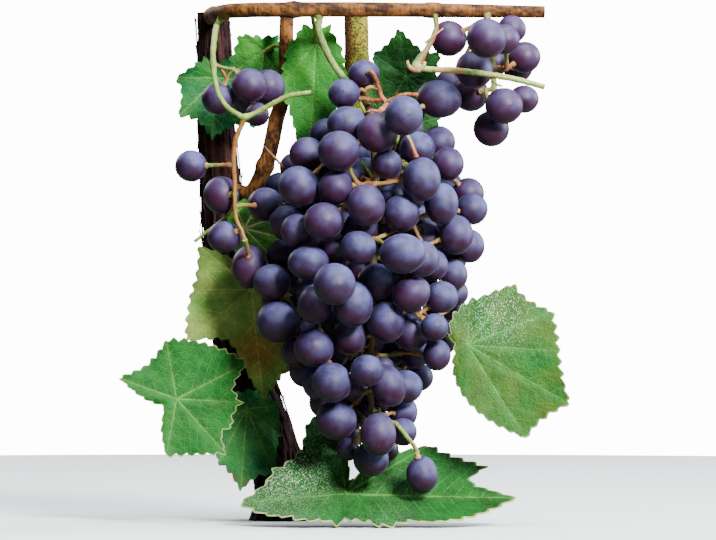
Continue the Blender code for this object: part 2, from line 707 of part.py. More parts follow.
def link(name, mesh, collection, colour):
    obj = bpy.data.objects.new(name, mesh)
    collection.objects.link(obj)
    if not mesh.materials:
        mesh.materials.append(material(colour))
    return obj


def mesh_from(shape, name):
    """A mesh from a bmesh that was drawn in half millimetres."""
    bmesh.ops.scale(shape, vec=(UNIT, UNIT, UNIT), verts=shape.verts)
    mesh = bpy.data.meshes.new(name)
    shape.to_mesh(mesh)
    shape.free()
    return mesh


def pointing(start, way):
    """The matrix that stands a shape's Z axis along a way, at a place."""
    return Matrix.Translation(start) @ way.to_track_quat("Z", "Y").to_matrix().to_4x4()


def berry_solid(berry, collection):
    shape = bmesh.new()
    scale = Matrix.Diagonal((berry.short, berry.short, berry.long, 1))
    bmesh.ops.create_uvsphere(
        shape, u_segments=BERRY_SIDES, v_segments=BERRY_RINGS, radius=1,
        matrix=pointing(berry.centre, berry.axis) @ scale,
    )
    return link("berry", mesh_from(shape, "berry"), collection, "berry")


def rod_solid(start, end, radius, collection, sides=3):
    way = end - start
    shape = bmesh.new()
    bmesh.ops.create_cone(
        shape, cap_ends=True, segments=sides, radius1=radius, radius2=radius, depth=way.length,
        matrix=pointing((start + end) / 2, way),
    )
    return link("rod", mesh_from(shape, "rod"), collection, "stem")


def tube(name, line, collection, colour, resolution):
    """A tapering tube with closed ends along a middle line, as a welded mesh."""
    data = bpy.data.curves.new(name, "CURVE")
    data.dimensions = "3D"
    data.bevel_depth = UNIT
    data.bevel_resolution = resolution
    data.use_fill_caps = True
    spline = data.splines.new("POLY")
    spline.points.add(len(line) - 1)
    for point, (place, radius) in zip(spline.points, line):
        point.co = (*(place * UNIT), 1)
        point.radius = radius
    curve = bpy.data.objects.new(name, data)
    collection.objects.link(curve)
    bpy.context.view_layer.update()
    evaluated = curve.evaluated_get(bpy.context.evaluated_depsgraph_get())
    mesh = bpy.data.meshes.new_from_object(evaluated)
    bpy.data.objects.remove(curve)
    shape = bmesh.new()
    shape.from_mesh(mesh)
    bmesh.ops.remove_doubles(shape, verts=shape.verts, dist=WELD * UNIT)
    bmesh.ops.recalc_face_normals(shape, faces=shape.faces)
    shape.to_mesh(mesh)
    shape.free()
    mesh.materials.clear()
    return link(name, mesh, collection, colour)


def join(name, pieces, collection, colour, solver="EXACT"):
    """One closed solid from overlapping pieces, by a union that is applied at once."""
    first, *others = pieces
    helpers = bpy.data.collections.new("join")
    for piece in others:
        helpers.objects.link(piece)
    union = first.modifiers.new("union", "BOOLEAN")
    union.operation = "UNION"
    union.operand_type = "COLLECTION"
    union.collection = helpers
    union.solver = solver
    bpy.context.view_layer.update()
    evaluated = first.evaluated_get(bpy.context.evaluated_depsgraph_get())
    mesh = bpy.data.meshes.new_from_object(evaluated)
    for piece in pieces:
        bpy.data.objects.remove(piece)
    bpy.data.collections.remove(helpers)
    shape = bmesh.new()
    shape.from_mesh(mesh)
    bmesh.ops.triangulate(shape, faces=shape.faces)
    shape.to_mesh(mesh)
    shape.free()
    mesh.materials.clear()
    mesh.name = name
    return link(name, mesh, collection, colour)


def berries_on_twigs(berries, collection):
    """The pieces of some berries and of the pedicels that bear them."""
    parts = []
    for berry in berries:
        parts.append(berry_solid(berry, collection))
        for start, end in zip(berry.route, [*berry.route[1:], berry.centre]):
            way = (end - start).normalized()
            inside = -(1 - BURIED_SHARE) * berry.reach(way) if end is berry.centre else 1
            parts.append(rod_solid(start - way, end + way * inside, PEDICEL_RADIUS, collection))
    return parts


def lateral_solid(name, berries, pieces, collection):
    """A lateral with its pedicels and berries, fused into one solid."""
    start, end, radius = pieces[0]
    parts = [rod_solid(start, end, radius, collection, 4)]
    return join(name, parts + berries_on_twigs(berries, collection), collection, "berry", "MANIFOLD")


def left_shoot_solid(limbs, berries, collection):
    """The left shoot with its two arms, the small bunch and the wing."""
    arms = ("left_shoot", "left_arm", "small_lateral")
    parts = [tube(name, limbs[name], collection, "stem", 0) for name in arms]
    parts += berries_on_twigs(berries, collection)
    return join("left_shoot", parts, collection, "stem", "MANIFOLD")


def rim_angles(tips):
    """Angles of the rim's corners: every tip, and steps between two tips."""
    angles = []
    for (start, _, _), end in zip(tips, [tip[0] for tip in tips[1:]] + [tips[0][0] + 360]):
        steps = max(2, min(STEPS_PER_LOBE, round((end - start) / LEAST_STEP)))
        angles += [start + (end - start) * step / steps for step in range(steps)]
    return angles


def leaf_solid(name, leaf, carriers, collection):
    """A thin lobed blade with its petiole, which ends a hair from the limb that bears it."""
    tips = leaf["tips"]
    angles = rim_angles(tips)
    longest = max(tip[1] for tip in tips)
    shape = bmesh.new()
    middle = shape.verts.new(blade_point(leaf, 0, 0))
    rings = []
    for share in (0.5, 1):
        ring = [blade_point(leaf, angle, rim(tips, angle) * share) for angle in angles]
        rings.append([shape.verts.new(point) for point in ring])
    count = len(angles)
    for number in range(count):
        after = (number + 1) % count
        shape.faces.new((middle, rings[0][number], rings[0][after]))
        shape.faces.new((rings[0][number], rings[1][number], rings[1][after], rings[0][after]))
    bmesh.ops.recalc_face_normals(shape, faces=shape.faces)
    bmesh.ops.solidify(shape, geom=shape.faces[:], thickness=2 * longest * BLADE_SHARE)
    bmesh.ops.recalc_face_normals(shape, faces=shape.faces)
    bmesh.ops.triangulate(shape, faces=shape.faces)
    blade = link("blade", mesh_from(shape, "blade"), collection, "leaf")
    petiole = tube("petiole", petiole_line(leaf, carriers), collection, "stem", 0)
    return join(name, [blade, petiole], collection, "leaf")


def main():
    for obj in list(bpy.data.objects):
        bpy.data.objects.remove(obj)
    vine = bpy.data.collections.new("grapevine")
    bpy.context.scene.collection.children.link(vine)
    limbs = limb_lines()
    groups, left = layout(limbs)
    tube("trunk", limbs["trunk"], vine, "bark", 3)
    tube("fruiting_cane", limbs["fruiting_cane"], vine, "cane", 2)
    tube("brown_cane", limbs["brown_cane"], vine, "cane", 2)
    tube("lichen_cane", limbs["lichen_cane"], vine, "lichen", 2)
    tube("bunch_stem", limbs["bunch_stem"], vine, "stem", 1)
    tube("right_stem", limbs["right_stem"], vine, "stem", 0)
    tube("right_shoot", limbs["right_shoot"], vine, "stem", 0)
    left_shoot_solid(limbs, left, vine)
    for name, (berries, pieces) in groups.items():
        lateral_solid(name, berries, pieces, vine)
    for name, leaf in LEAVES.items():
        leaf_solid(name, leaf, limbs, vine)


main()
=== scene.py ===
"""The looks of a grapevine section with its ripe bunch: berries, twigs, bark and leaves.

Everything is drawn as in the part's source, in half millimetres: X to the right, Y to the
back, Z up, with the origin under the trunk. Berries and twigs are placed by the source's
rule, written again here, and a mesh is turned into metres when it is made.
"""

import bisect
import math
import random

import bpy
from mathutils import Matrix, Vector, noise


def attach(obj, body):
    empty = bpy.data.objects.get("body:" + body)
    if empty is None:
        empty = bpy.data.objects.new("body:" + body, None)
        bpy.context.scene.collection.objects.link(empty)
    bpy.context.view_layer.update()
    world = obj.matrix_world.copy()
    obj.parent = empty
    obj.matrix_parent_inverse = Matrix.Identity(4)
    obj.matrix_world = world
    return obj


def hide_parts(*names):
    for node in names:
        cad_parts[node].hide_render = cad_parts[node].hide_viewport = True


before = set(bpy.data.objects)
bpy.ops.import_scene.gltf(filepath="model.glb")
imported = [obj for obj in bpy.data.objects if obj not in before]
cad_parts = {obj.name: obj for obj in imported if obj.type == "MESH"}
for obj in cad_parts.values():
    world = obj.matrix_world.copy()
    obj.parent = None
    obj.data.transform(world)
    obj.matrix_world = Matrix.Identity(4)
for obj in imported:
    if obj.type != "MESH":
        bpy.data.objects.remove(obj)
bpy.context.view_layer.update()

# One drawing unit in metres, straight pieces between two drawn points, the hair of air where
# a stem sits on its bearer, the step by which it leaves its seat, and the air kept between
# two berries, and between a twig and a berry or another twig.
UNIT = 0.0005
PIECES = 2
SEAT_GAP = 0.6
SEAT_STEP = 3
BERRY_GAP = 0.8
TWIG_GAP = 0.9

# Main bunch: its middle plane, and its half width at each height. The depth is a share
# of the width.
BUNCH_Y = -140
BUNCH_OUTLINE = (
    (40, 14, 92), (66, 28, 93), (86, 47, 88), (111, 52, 86), (141, 64, 87), (171, 82, 85),
    (206, 98, 83), (256, 98, 88), (296, 105, 94), (336, 107, 92), (376, 84, 94), (406, 60, 92),
    (436, 42, 88), (466, 22, 84),
)
BUNCH_DEPTH = 0.76

# Berries: the usual half length, and the half lengths tried where no drawn berry is. Those
# that close a gap lie deep behind the bunch's front, and above FULL_TOP the bunch stays open.
BERRY_SIZE = 18
LARGE_BERRY = (16.5, 20)
SMALL_BERRY = (14, 15.5)
ROUNDNESS = 0.95
GAP_BERRIES = (17, 14, 11.5)
GAP_TRIES = 4000
GAP_DEEP = 20
FULL_TOP = 392
RIGHT_TOP = 497
# Berries at the sides and the back: how many places are tried, how far round to the front
# they begin as a share of the half width, and the range of their tilt.
BACK_BERRY_TRIES = 700
BACK_STARTS = -0.25
BACK_TILT = (-0.6, 0.2)
# Room kept round a bunch's stem, one step of a berry that moves, and the least half width.
CORE_SPACE = 5
STEP = 0.5
LEAST_HALF = 5

# Right-hand bunch, which hangs higher and further to the right.
RIGHT_Y = -135
RIGHT_OUTLINE = (
    (380, 14, 214), (400, 30, 212), (430, 44, 213), (465, 52, 214), (495, 46, 212), (506, 20, 210),
)

# Berries of the main bunch that face the front, nearest first:
# (x, z, half length, half width, angle of the long axis in degrees).
FRONT_BERRIES = (
    (54, 242, 21, 21, 0), (85, 320, 21, 19, 90), (121, 272, 23, 20, 0), (58, 374, 21, 20, 0),
    (122, 408, 20, 19, 90), (140, 346, 22, 19, 90), (77, 278, 18, 17, 0), (43, 304, 20, 19, 0),
    (18, 339, 21, 20, 135), (72, 222, 23, 20, 90), (86, 156, 17, 16, 0), (97, 92, 22, 18, 90),
    (51, 144, 20, 20, 0), (33, 178, 20, 19, 0), (-3, 204, 22, 21, 0), (-9, 244, 19, 18, 0),
    (28, 263, 21, 17, 0), (34, 221, 19, 17, 90), (160, 322, 21, 17, 90), (140, 267, 18, 18, 0),
    (130, 232, 20, 17, 35), (105, 204, 21, 19, 90), (95, 244, 19, 18, 90), (120, 312, 19, 18, 90),
    (96, 392, 20, 20, 90), (66, 401, 20, 18, 0), (136, 377, 18, 17, 0), (106, 361, 15, 15, 0),
    (68, 189, 18, 18, 0), (55, 106, 21, 20, 0), (107, 141, 22, 17, 112), (130, 194, 19, 18, 90),
    (134, 172, 16, 15, 90), (124, 139, 18, 17, 0), (122, 113, 17, 15, 90), (160, 229, 17, 16, 0),
    (151, 261, 16, 16, 0), (175, 291, 20, 17, 90), (167, 362, 17, 16, 90), (191, 317, 16, 16, 0),
    (189, 280, 17, 15, 90), (188, 333, 16, 16, 0), (158, 427, 23, 19, -8), (125, 398, 18, 18, 0),
    (63, 432, 16, 15, 0), (83, 452, 16, 14, 0), (26, 372, 18, 17, 0), (27, 336, 18, 18, 0),
)
# Berries seen in the gaps between those, free to lie behind the stem.
INNER_BERRIES = (
    (16, 295, 17, 16, 90), (6, 303, 18, 18, 0), (38, 144, 19, 17, 90), (16, 174, 16, 16, 0),
    (-6, 226, 14, 14, 0), (71, 114, 15, 15, 0), (65, 92, 15, 15, 0), (90, 67, 18, 18, 0),
    (104, 76, 14, 14, 0), (139, 148, 14, 14, 0), (122, 94, 14, 14, 0), (153, 199, 14, 14, 0),
    (134, 203, 14, 14, 0), (156, 171, 16, 14, 90), (172, 251, 16, 15, 90), (174, 233, 14, 14, 0),
    (172, 218, 14, 14, 0), (141, 51, 19, 16, 90), (55, 338, 17, 17, 0), (91, 185, 14, 14, 0),
    (110, 173, 15, 15, 0), (109, 331, 13, 13, 0), (81, 118, 12, 12, 0),
)
RIGHT_BERRIES = (
    (204, 485, 20, 20, 0), (222, 419, 19, 18, 0), (168, 488, 18, 18, 0), (193, 456, 19, 19, 0),
    (223, 485, 15, 15, 0), (190, 433, 18, 18, 0), (215, 465, 14, 14, 0), (238, 460, 15, 15, 0),
    (171, 442, 17, 17, 0), (210, 397, 18, 18, 0), (243, 427, 15, 14, 0),
)
# Small bunch and wing on the left shoot, with the depth that each drops back from.
SMALL_BERRIES = (
    (-32, 441, 18, 17, 0, -131), (-63, 428, 17, 16, 0, -126), (-14, 440, 18, 18, 0, -126),
    (-34, 429, 16, 16, 0, -120), (-24, 412, 12, 12, 0, -118),
)
WING_BERRIES = (
    (-32, 259, 22, 18, 90, -150), (-60, 331, 19, 18, 90, -130), (-57, 289, 17, 16, 0, -138),
    (-16, 322, 18, 17, 0, -146), (-90, 360, 16, 16, 0, -140),
)

# Wood and stems: points of the middle line with the radius there.
TRUNK = (
    ((0, 0, 0), 36), ((0, 0, 7), 33), ((0, 0, 16), 30), ((-3, 0, 36), 27), ((-12, 0, 80), 25),
    ((-32, 2, 141), 24),
    ((-52, 3, 201), 22), ((-61, 2, 311), 21), ((-66, 0, 386), 19), ((-70, 0, 476), 17),
    ((-72, 0, 520), 16),
)
FRUITING_CANE = (
    ((-68, -50, 515), 8), ((-50, -98, 517), 7.5), ((0, -124, 517), 7.5), ((80, -130, 517), 7.5),
    ((180, -126, 516), 7), ((264, -118, 515), 6),
)
BROWN_CANE = (
    ((-30, -30, 336), 8.5), ((-14, -42, 372), 8), ((-6, -50, 408), 8), ((3, -56, 440), 7.5),
    ((4, -60, 480), 7.5), ((5, -62, 520), 7),
)
LICHEN_CANE = (
    ((4, -8, 168), 14), ((34, -22, 205), 13.5), ((62, -32, 270), 13), ((73, -34, 350), 12.5),
    ((76, -36, 440), 12.5), ((75, -36, 520), 12),
)
BUNCH_STEM = (
    ((38, -128, 494), 3.6), ((49, -122, 468), 3.4), ((65, -122, 446), 3.6), ((84, -132, 428), 4.6),
    ((92, -139, 402), 4.6), ((94, -140, 350), 4.2), ((92, -140, 250), 3.8), ((90, -140, 150), 3.2),
    ((91, -140, 96), 2.4),
)
RIGHT_STEM = (
    ((207, -134, 496), 3.4), ((211, -136, 470), 3.2), ((213, -136, 440), 2.8), ((213, -136, 415), 2.2),
)
LEFT_SHOOT = (
    ((-66, -86, 501), 3), ((-67, -122, 488), 2.8), ((-68, -142, 472), 2.7), ((-67, -149, 456), 2.7),
    ((-65, -153, 443), 2.7), ((-61, -156, 429), 2.7), ((-53, -158, 418), 2.7), ((-43, -159, 411), 2.8),
    ((-36, -159, 408), 2.8), ((-24, -159, 413), 2.7), ((-8, -158, 422), 2.6), ((9, -156, 430), 2.5),
    ((30, -153, 433), 2.5),
)
LEFT_ARM = (
    ((-36, -159, 408), 2.6), ((-42, -157, 394), 2.6), ((-46, -155, 381), 2.5), ((-47, -153, 361), 2.4),
    ((-46, -151, 345), 2.3), ((-46, -150, 319), 2.2), ((-44, -150, 305), 2.1), ((-40, -150, 297), 2),
    ((-36, -150, 286), 2),
)
SMALL_LATERAL = (
    ((-67, -148, 461), 1.8), ((-57, -140, 458), 1.8), ((-48, -122, 457), 1.6), ((-44, -104, 456), 1.6),
)
RIGHT_SHOOT = (
    ((155, -146, 496), 2.6), ((147, -162, 478), 2.8), ((136, -174, 460), 3.6), ((146, -178, 455.5), 3),
    ((169, -181, 454.5), 3), ((184, -183, 453), 3), ((204, -185, 450.5), 3), ((219, -185, 448), 3),
    ((241, -183, 443.5), 2.9), ((262, -178, 438), 2.8),
)

# Leaves. place is where the veins meet; lean is how far the blade goes back for each step to
# the right, up, and down; cup bends the rim towards the front. tips lists, anticlockwise, each
# lobe's angle, its length and how deep the bay after it is. way is the petiole's route back
# to the limb that bears it, its carrier.
LEAVES = {
    "leaf_left_front": dict(
        place=(-106, -92, 126), lean=(0.12, 0.2, 0.1), cup=10,
        tips=((-100, 58, 0.12), (-48, 74, 0.16), (-27, 63, 0.08), (-3, 66, 0.2), (27, 80, 0.1),
              (100, 60, 0.25), (160, 62, 0.75)),
        way=((-104, -50, 150), (-88, -36, 190)), carrier="trunk"),
    "leaf_lower_left": dict(
        place=(-36, -44, 115), lean=(0.1, 0.2, 0.12), cup=6,
        tips=((-150, 42, 0.1), (-118, 62, 0.1), (-94, 83, 0.12), (-67, 74, 0.14), (-38, 44, 0.1),
              (5, 32, 0.5)),
        way=((-38, -36, 128),), carrier="trunk"),
    "leaf_bottom": dict(
        place=(65, -112, 32), lean=(0.05, 0.5, 3.0), cup=0,
        tips=((-2, 172, 0.2), (10, 144, 0.08), (30, 97, 0.05), (38, 68, 0.86), (100, 83, 0),
              (120, 80, 0.22), (163, 78, 0.1), (184, 107, 0), (202, 60, 0), (228, 32, 0), (270, 24, 0),
              (312, 32, 0), (338, 66, 0)),
        way=((62, -92, 56), (48, -52, 110), (34, -44, 160)), carrier="lichen_cane"),
    "leaf_left_centre": dict(
        place=(-31, -58, 236), lean=(0.05, 0.05, 0), cup=5,
        tips=((-84, 114, 0.15), (-35, 78, 0.2), (20, 56, 0.2), (75, 42, 0.5), (140, 70, 0.1),
              (180, 60, 0.05), (218, 84, 0.42)),
        way=((-36, -46, 248),), carrier="trunk"),
    "leaf_left_inner": dict(
        place=(-38, -76, 298), lean=(0.1, 0.1, 0), cup=4,
        tips=((-14, 55, 0.15), (20, 50, 0.12), (60, 45, 0.2), (110, 30, 0.3), (200, 18, 0.1),
              (275, 34, 0.2), (315, 45, 0.12)),
        way=((-46, -50, 306),), carrier="trunk"),
    "leaf_top": dict(
        place=(34, -80, 486), lean=(0, 0.1, -0.05), cup=4,
        tips=((267, 138, 0.25), (305, 60, 0.2), (345, 28, 0.2), (410, 22, 0.3), (490, 22, 0.2),
              (548, 28, 0.2), (592, 60, 0.25)),
        way=((34, -96, 496),), carrier="fruiting_cane"),
    "leaf_top_right": dict(
        place=(126, -60, 451), lean=(-0.1, 0, 0), cup=1,
        tips=((35, 42, 0.3), (98, 50, 0.15), (145, 42, 0.15), (190, 36, 0.15), (235, 48, 0.2),
              (275, 56, 0.2), (322, 46, 0.3)),
        way=((116, -52, 455),), carrier="lichen_cane"),
    "leaf_top_left": dict(
        place=(-66, -44, 451), lean=(0.05, 0, 0), cup=5,
        tips=((180, 42, 0.2), (225, 56, 0.2), (265, 62, 0.15), (310, 58, 0.2), (355, 32, 0.2),
              (420, 22, 0.3), (480, 24, 0.2)),
        way=((-66, -34, 452),), carrier="trunk"),
    "leaf_top_inner": dict(
        place=(-19, -28, 478), lean=(0.05, 0, 0), cup=4,
        tips=((262, 80, 0.2), (300, 46, 0.2), (345, 26, 0.2), (410, 22, 0.4), (505, 30, 0.2),
              (572, 46, 0.2)),
        way=((-8, -32, 484),), carrier="brown_cane"),
    "leaf_right": dict(
        place=(186, -150, 181), lean=(-0.05, 0.35, 0.15), cup=4,
        tips=((-58, 110, 0.08), (-30, 118, 0.06), (-4, 92, 0.02), (22, 92, 0.1), (52, 77, 0.14),
              (86, 46, 0.84)),
        way=((166, -134, 190), (150, -70, 232)), carrier="lichen_cane"),
    "leaf_back_upper": dict(
        place=(104, 14, 400), lean=(0.1, 0.1, 0), cup=-8,
        tips=((268, 92, 0.25), (318, 78, 0.25), (372, 60, 0.3), (470, 48, 0.6), (528, 48, 0.3),
              (578, 70, 0.25)),
        way=((92, -4, 404),), carrier="lichen_cane"),
    "leaf_back_lower": dict(
        place=(-10, 44, 268), lean=(0.1, 0.1, 0), cup=-8,
        tips=((272, 100, 0.25), (322, 84, 0.25), (376, 64, 0.3), (464, 50, 0.6), (532, 50, 0.3),
              (582, 74, 0.25)),
        way=((-26, 34, 272),), carrier="trunk"),
}

# Leaves: how round a bay is, the ribs across a blade that berries keep clear of, and petioles.
BAY_SHAPE = 0.8
RIB_ANGLE = 8
RIB_RADIUS = 2
PETIOLE_RADIUS = 2.6

# The layout draws from this seed, and the looks from the next one.
SEED = 7

# How many laterals leave each stem, and the share of its length before the first one. Then
# how a pedicel looks for its way to a lateral.
LATERALS, FIRST_LATERAL = 18, 0.2
RIGHT_LATERALS, FIRST_RIGHT_LATERAL = 4, 0.1
NEAREST_HOLDS = 90
CORNER_TRIES = 80
CORNER_REACH = (3, 22)
NEAREST_TO_CORNER = 14
# Steps along a twig where its distance from others is tested, and from hold to hold.
PROBE_STEP = 3
HOLD_STEP = 5
# How a lateral leaves its stem: FULL_TURNS directions are tried, GOLDEN_ANGLE apart. It is a
# share of the bunch's half width long, or one of the short lengths, and droops by a share.
GOLDEN_ANGLE = 137.5
FULL_TURNS = 24
LONG_LATERAL = 0.34
MIDDLE_LATERAL = 0.22
SHORT_LATERALS = (9, 6)
LATERAL_DROOP = 0.15
TWIG_RADIUS = 1.7
PEDICEL_RADIUS = 1.3
# Steps that spread a count of places evenly over a bunch's height and around it.
EVEN_HEIGHT = 0.7548777
EVEN_TURN = 0.5698403

# ---------------------------------------------------------------- looks, sizes in drawing units

# Faces that meet at more degrees than this keep a sharp edge.
SHARP_ANGLE = 50
# Curved pieces between two points of a middle line, before it is thinned to its step. Then,
# for each kind of tube, the step along its middle line and the points around it.
CURVE_PIECES = 8
TRUNK_STEP, TRUNK_SIDES = 2.1, 110
CANE_STEP, CANE_SIDES = 1.6, 40
LICHEN_STEP, LICHEN_SIDES = 1.3, 64
STEM_STEP, STEM_SIDES = 1.1, 18
SHOOT_STEP, SHOOT_SIDES = 1.1, 16
SMALL_STEP, SMALL_SIDES = 0.7, 14
PETIOLE_STEP, PETIOLE_SIDES = 1.5, 12
LATERAL_STEP, LATERAL_SIDES = 1.2, 10
PEDICEL_STEP, PEDICEL_SIDES = 1.1, 9
# Rings that close a tube's end, as shares of its width.
CAP_RINGS = (1, 0.8, 0.5, 0.2)

# A berry: points around it, the angles of its rings from the stalk, the dimple at the stalk
# and the scar at the other end with their widths, the width of the bare ring round the
# stalk, and the least and most wax. Wax is a base, more on the side towards the lights
# above and to the right, which is painted light, and blotches.
BALL_SIDES = 26
BALL_RINGS = (5, 10, 16, 26, 38, 50, 62, 74, 86, 98, 110, 122, 134, 146, 157, 166, 172, 176)
DIMPLE, DIMPLE_WIDTH = 1.1, 0.02
SCAR_RISE, SCAR_WIDTH = 0.35, 0.002
BARE_WIDTH = 0.05
LEAST_WAX, MOST_WAX = 0.04, 0.8
WAX_BASE, WAX_PAINTED_LIGHT, WAX_BLOTCHES = 0.05, 0.75, 0.24
# Twigs: radii of a berry's stalk and its cushion, how far a stalk starts inside its twig and
# ends inside the berry, how much it is bowed, and how far a lateral starts inside its stem.
# The cushion begins and is widest at these distances from the stalk's end. A stalk is bowed
# when it is longer than BOWED_STALK, and narrow before its cushion when over PLAIN_STALK.
STALK_RADIUS = 2.2
CUSHION_RADIUS = 3.5
CUSHION_BEGINS, CUSHION_WIDEST = 3.4, 1.5
STALK_SINK, SKIN_SINK = 1.2, 0.9
STALK_BOW = 0.05
BOWED_STALK, PLAIN_STALK = 10, 5
LATERAL_SINK = 2.6
CUSHION = (0.42, 0.20, 0.10)
SKIN_BLUE = (0.010, 0.003, 0.017)
SKIN_RED = (0.040, 0.004, 0.026)
# The dark maroon that the lower part of each berry turns to is painted shade.
SKIN_UNDER_SHADE = (0.028, 0.0006, 0.009)
BLOOM = (0.112, 0.118, 0.315, 1)
# The side of a berry towards the lights, where more wax is painted light, and the bunches that
# get less wax, which darkens them as painted shade.
PAINTED_LIGHT_SIDE = Vector((0.38, -0.5, 0.78))
SHADED_BUNCH_WAX = {"right": 0.6, "left": 0.8}
# Stalks that are listed one by one: the berry's (x, z), and the way from its twig. Their colours
# from start to end are OWN_TONES.
OWN_STALKS = {
    (141, 51): (
        (94, -142.2, 89.7), (101, -140, 102), (112, -150, 104), (119, -157, 98), (126, -157, 89),
        (132, -151, 82), (135.5, -145, 75.5),
    ),
}
SCAR = (0.05, 0.025, 0.015)
TWIG_GREEN = (0.17, 0.26, 0.035)
TWIG_STRAW = (0.36, 0.22, 0.06)
TWIG_RED = (0.28, 0.065, 0.03)
TWIG_DARK = (0.05, 0.025, 0.01)
# How far a stem reaches into its bearer, how much wider it is there, and how wide its joints swell.
STEM_SINK, STEM_FLARE = 3, 1.5
KNOT_WIDTH = 4
# A shoot's side towards the light, its other side, and the blush that comes and goes on it.
SUNNY = Vector((-0.5, -0.35, 0.8))
BEND = Vector((136, -174, 460))
SHOOT_COLOURS = {
    "left_shoot": ((0.27, 0.42, 0.07), (0.06, 0.13, 0.012), (0.17, 0.24, 0.03)),
    "left_arm": ((0.50, 0.17, 0.03), (0.10, 0.14, 0.02), (0.40, 0.08, 0.02)),
    "small_lateral": ((0.26, 0.30, 0.05), (0.12, 0.10, 0.015), (0.40, 0.10, 0.03)),
    "bunch_stem": ((0.27, 0.42, 0.09), (0.10, 0.16, 0.02), (0.22, 0.25, 0.05)),
    "right_stem": ((0.26, 0.34, 0.07), (0.10, 0.14, 0.02), (0.28, 0.15, 0.04)),
    "right_shoot": ((0.42, 0.58, 0.15), (0.15, 0.24, 0.02), (0.46, 0.26, 0.05)),
}
# Below this height the bunch's stem turns from green to the brown of its old wood.
STEM_TURNS = 448
STEM_BROWN = (0.13, 0.085, 0.025)
# Above its bend the right-hand shoot is olive, with a red side.
BEND_OLIVE, BEND_RED = (0.13, 0.19, 0.02), (0.30, 0.03, 0.02)

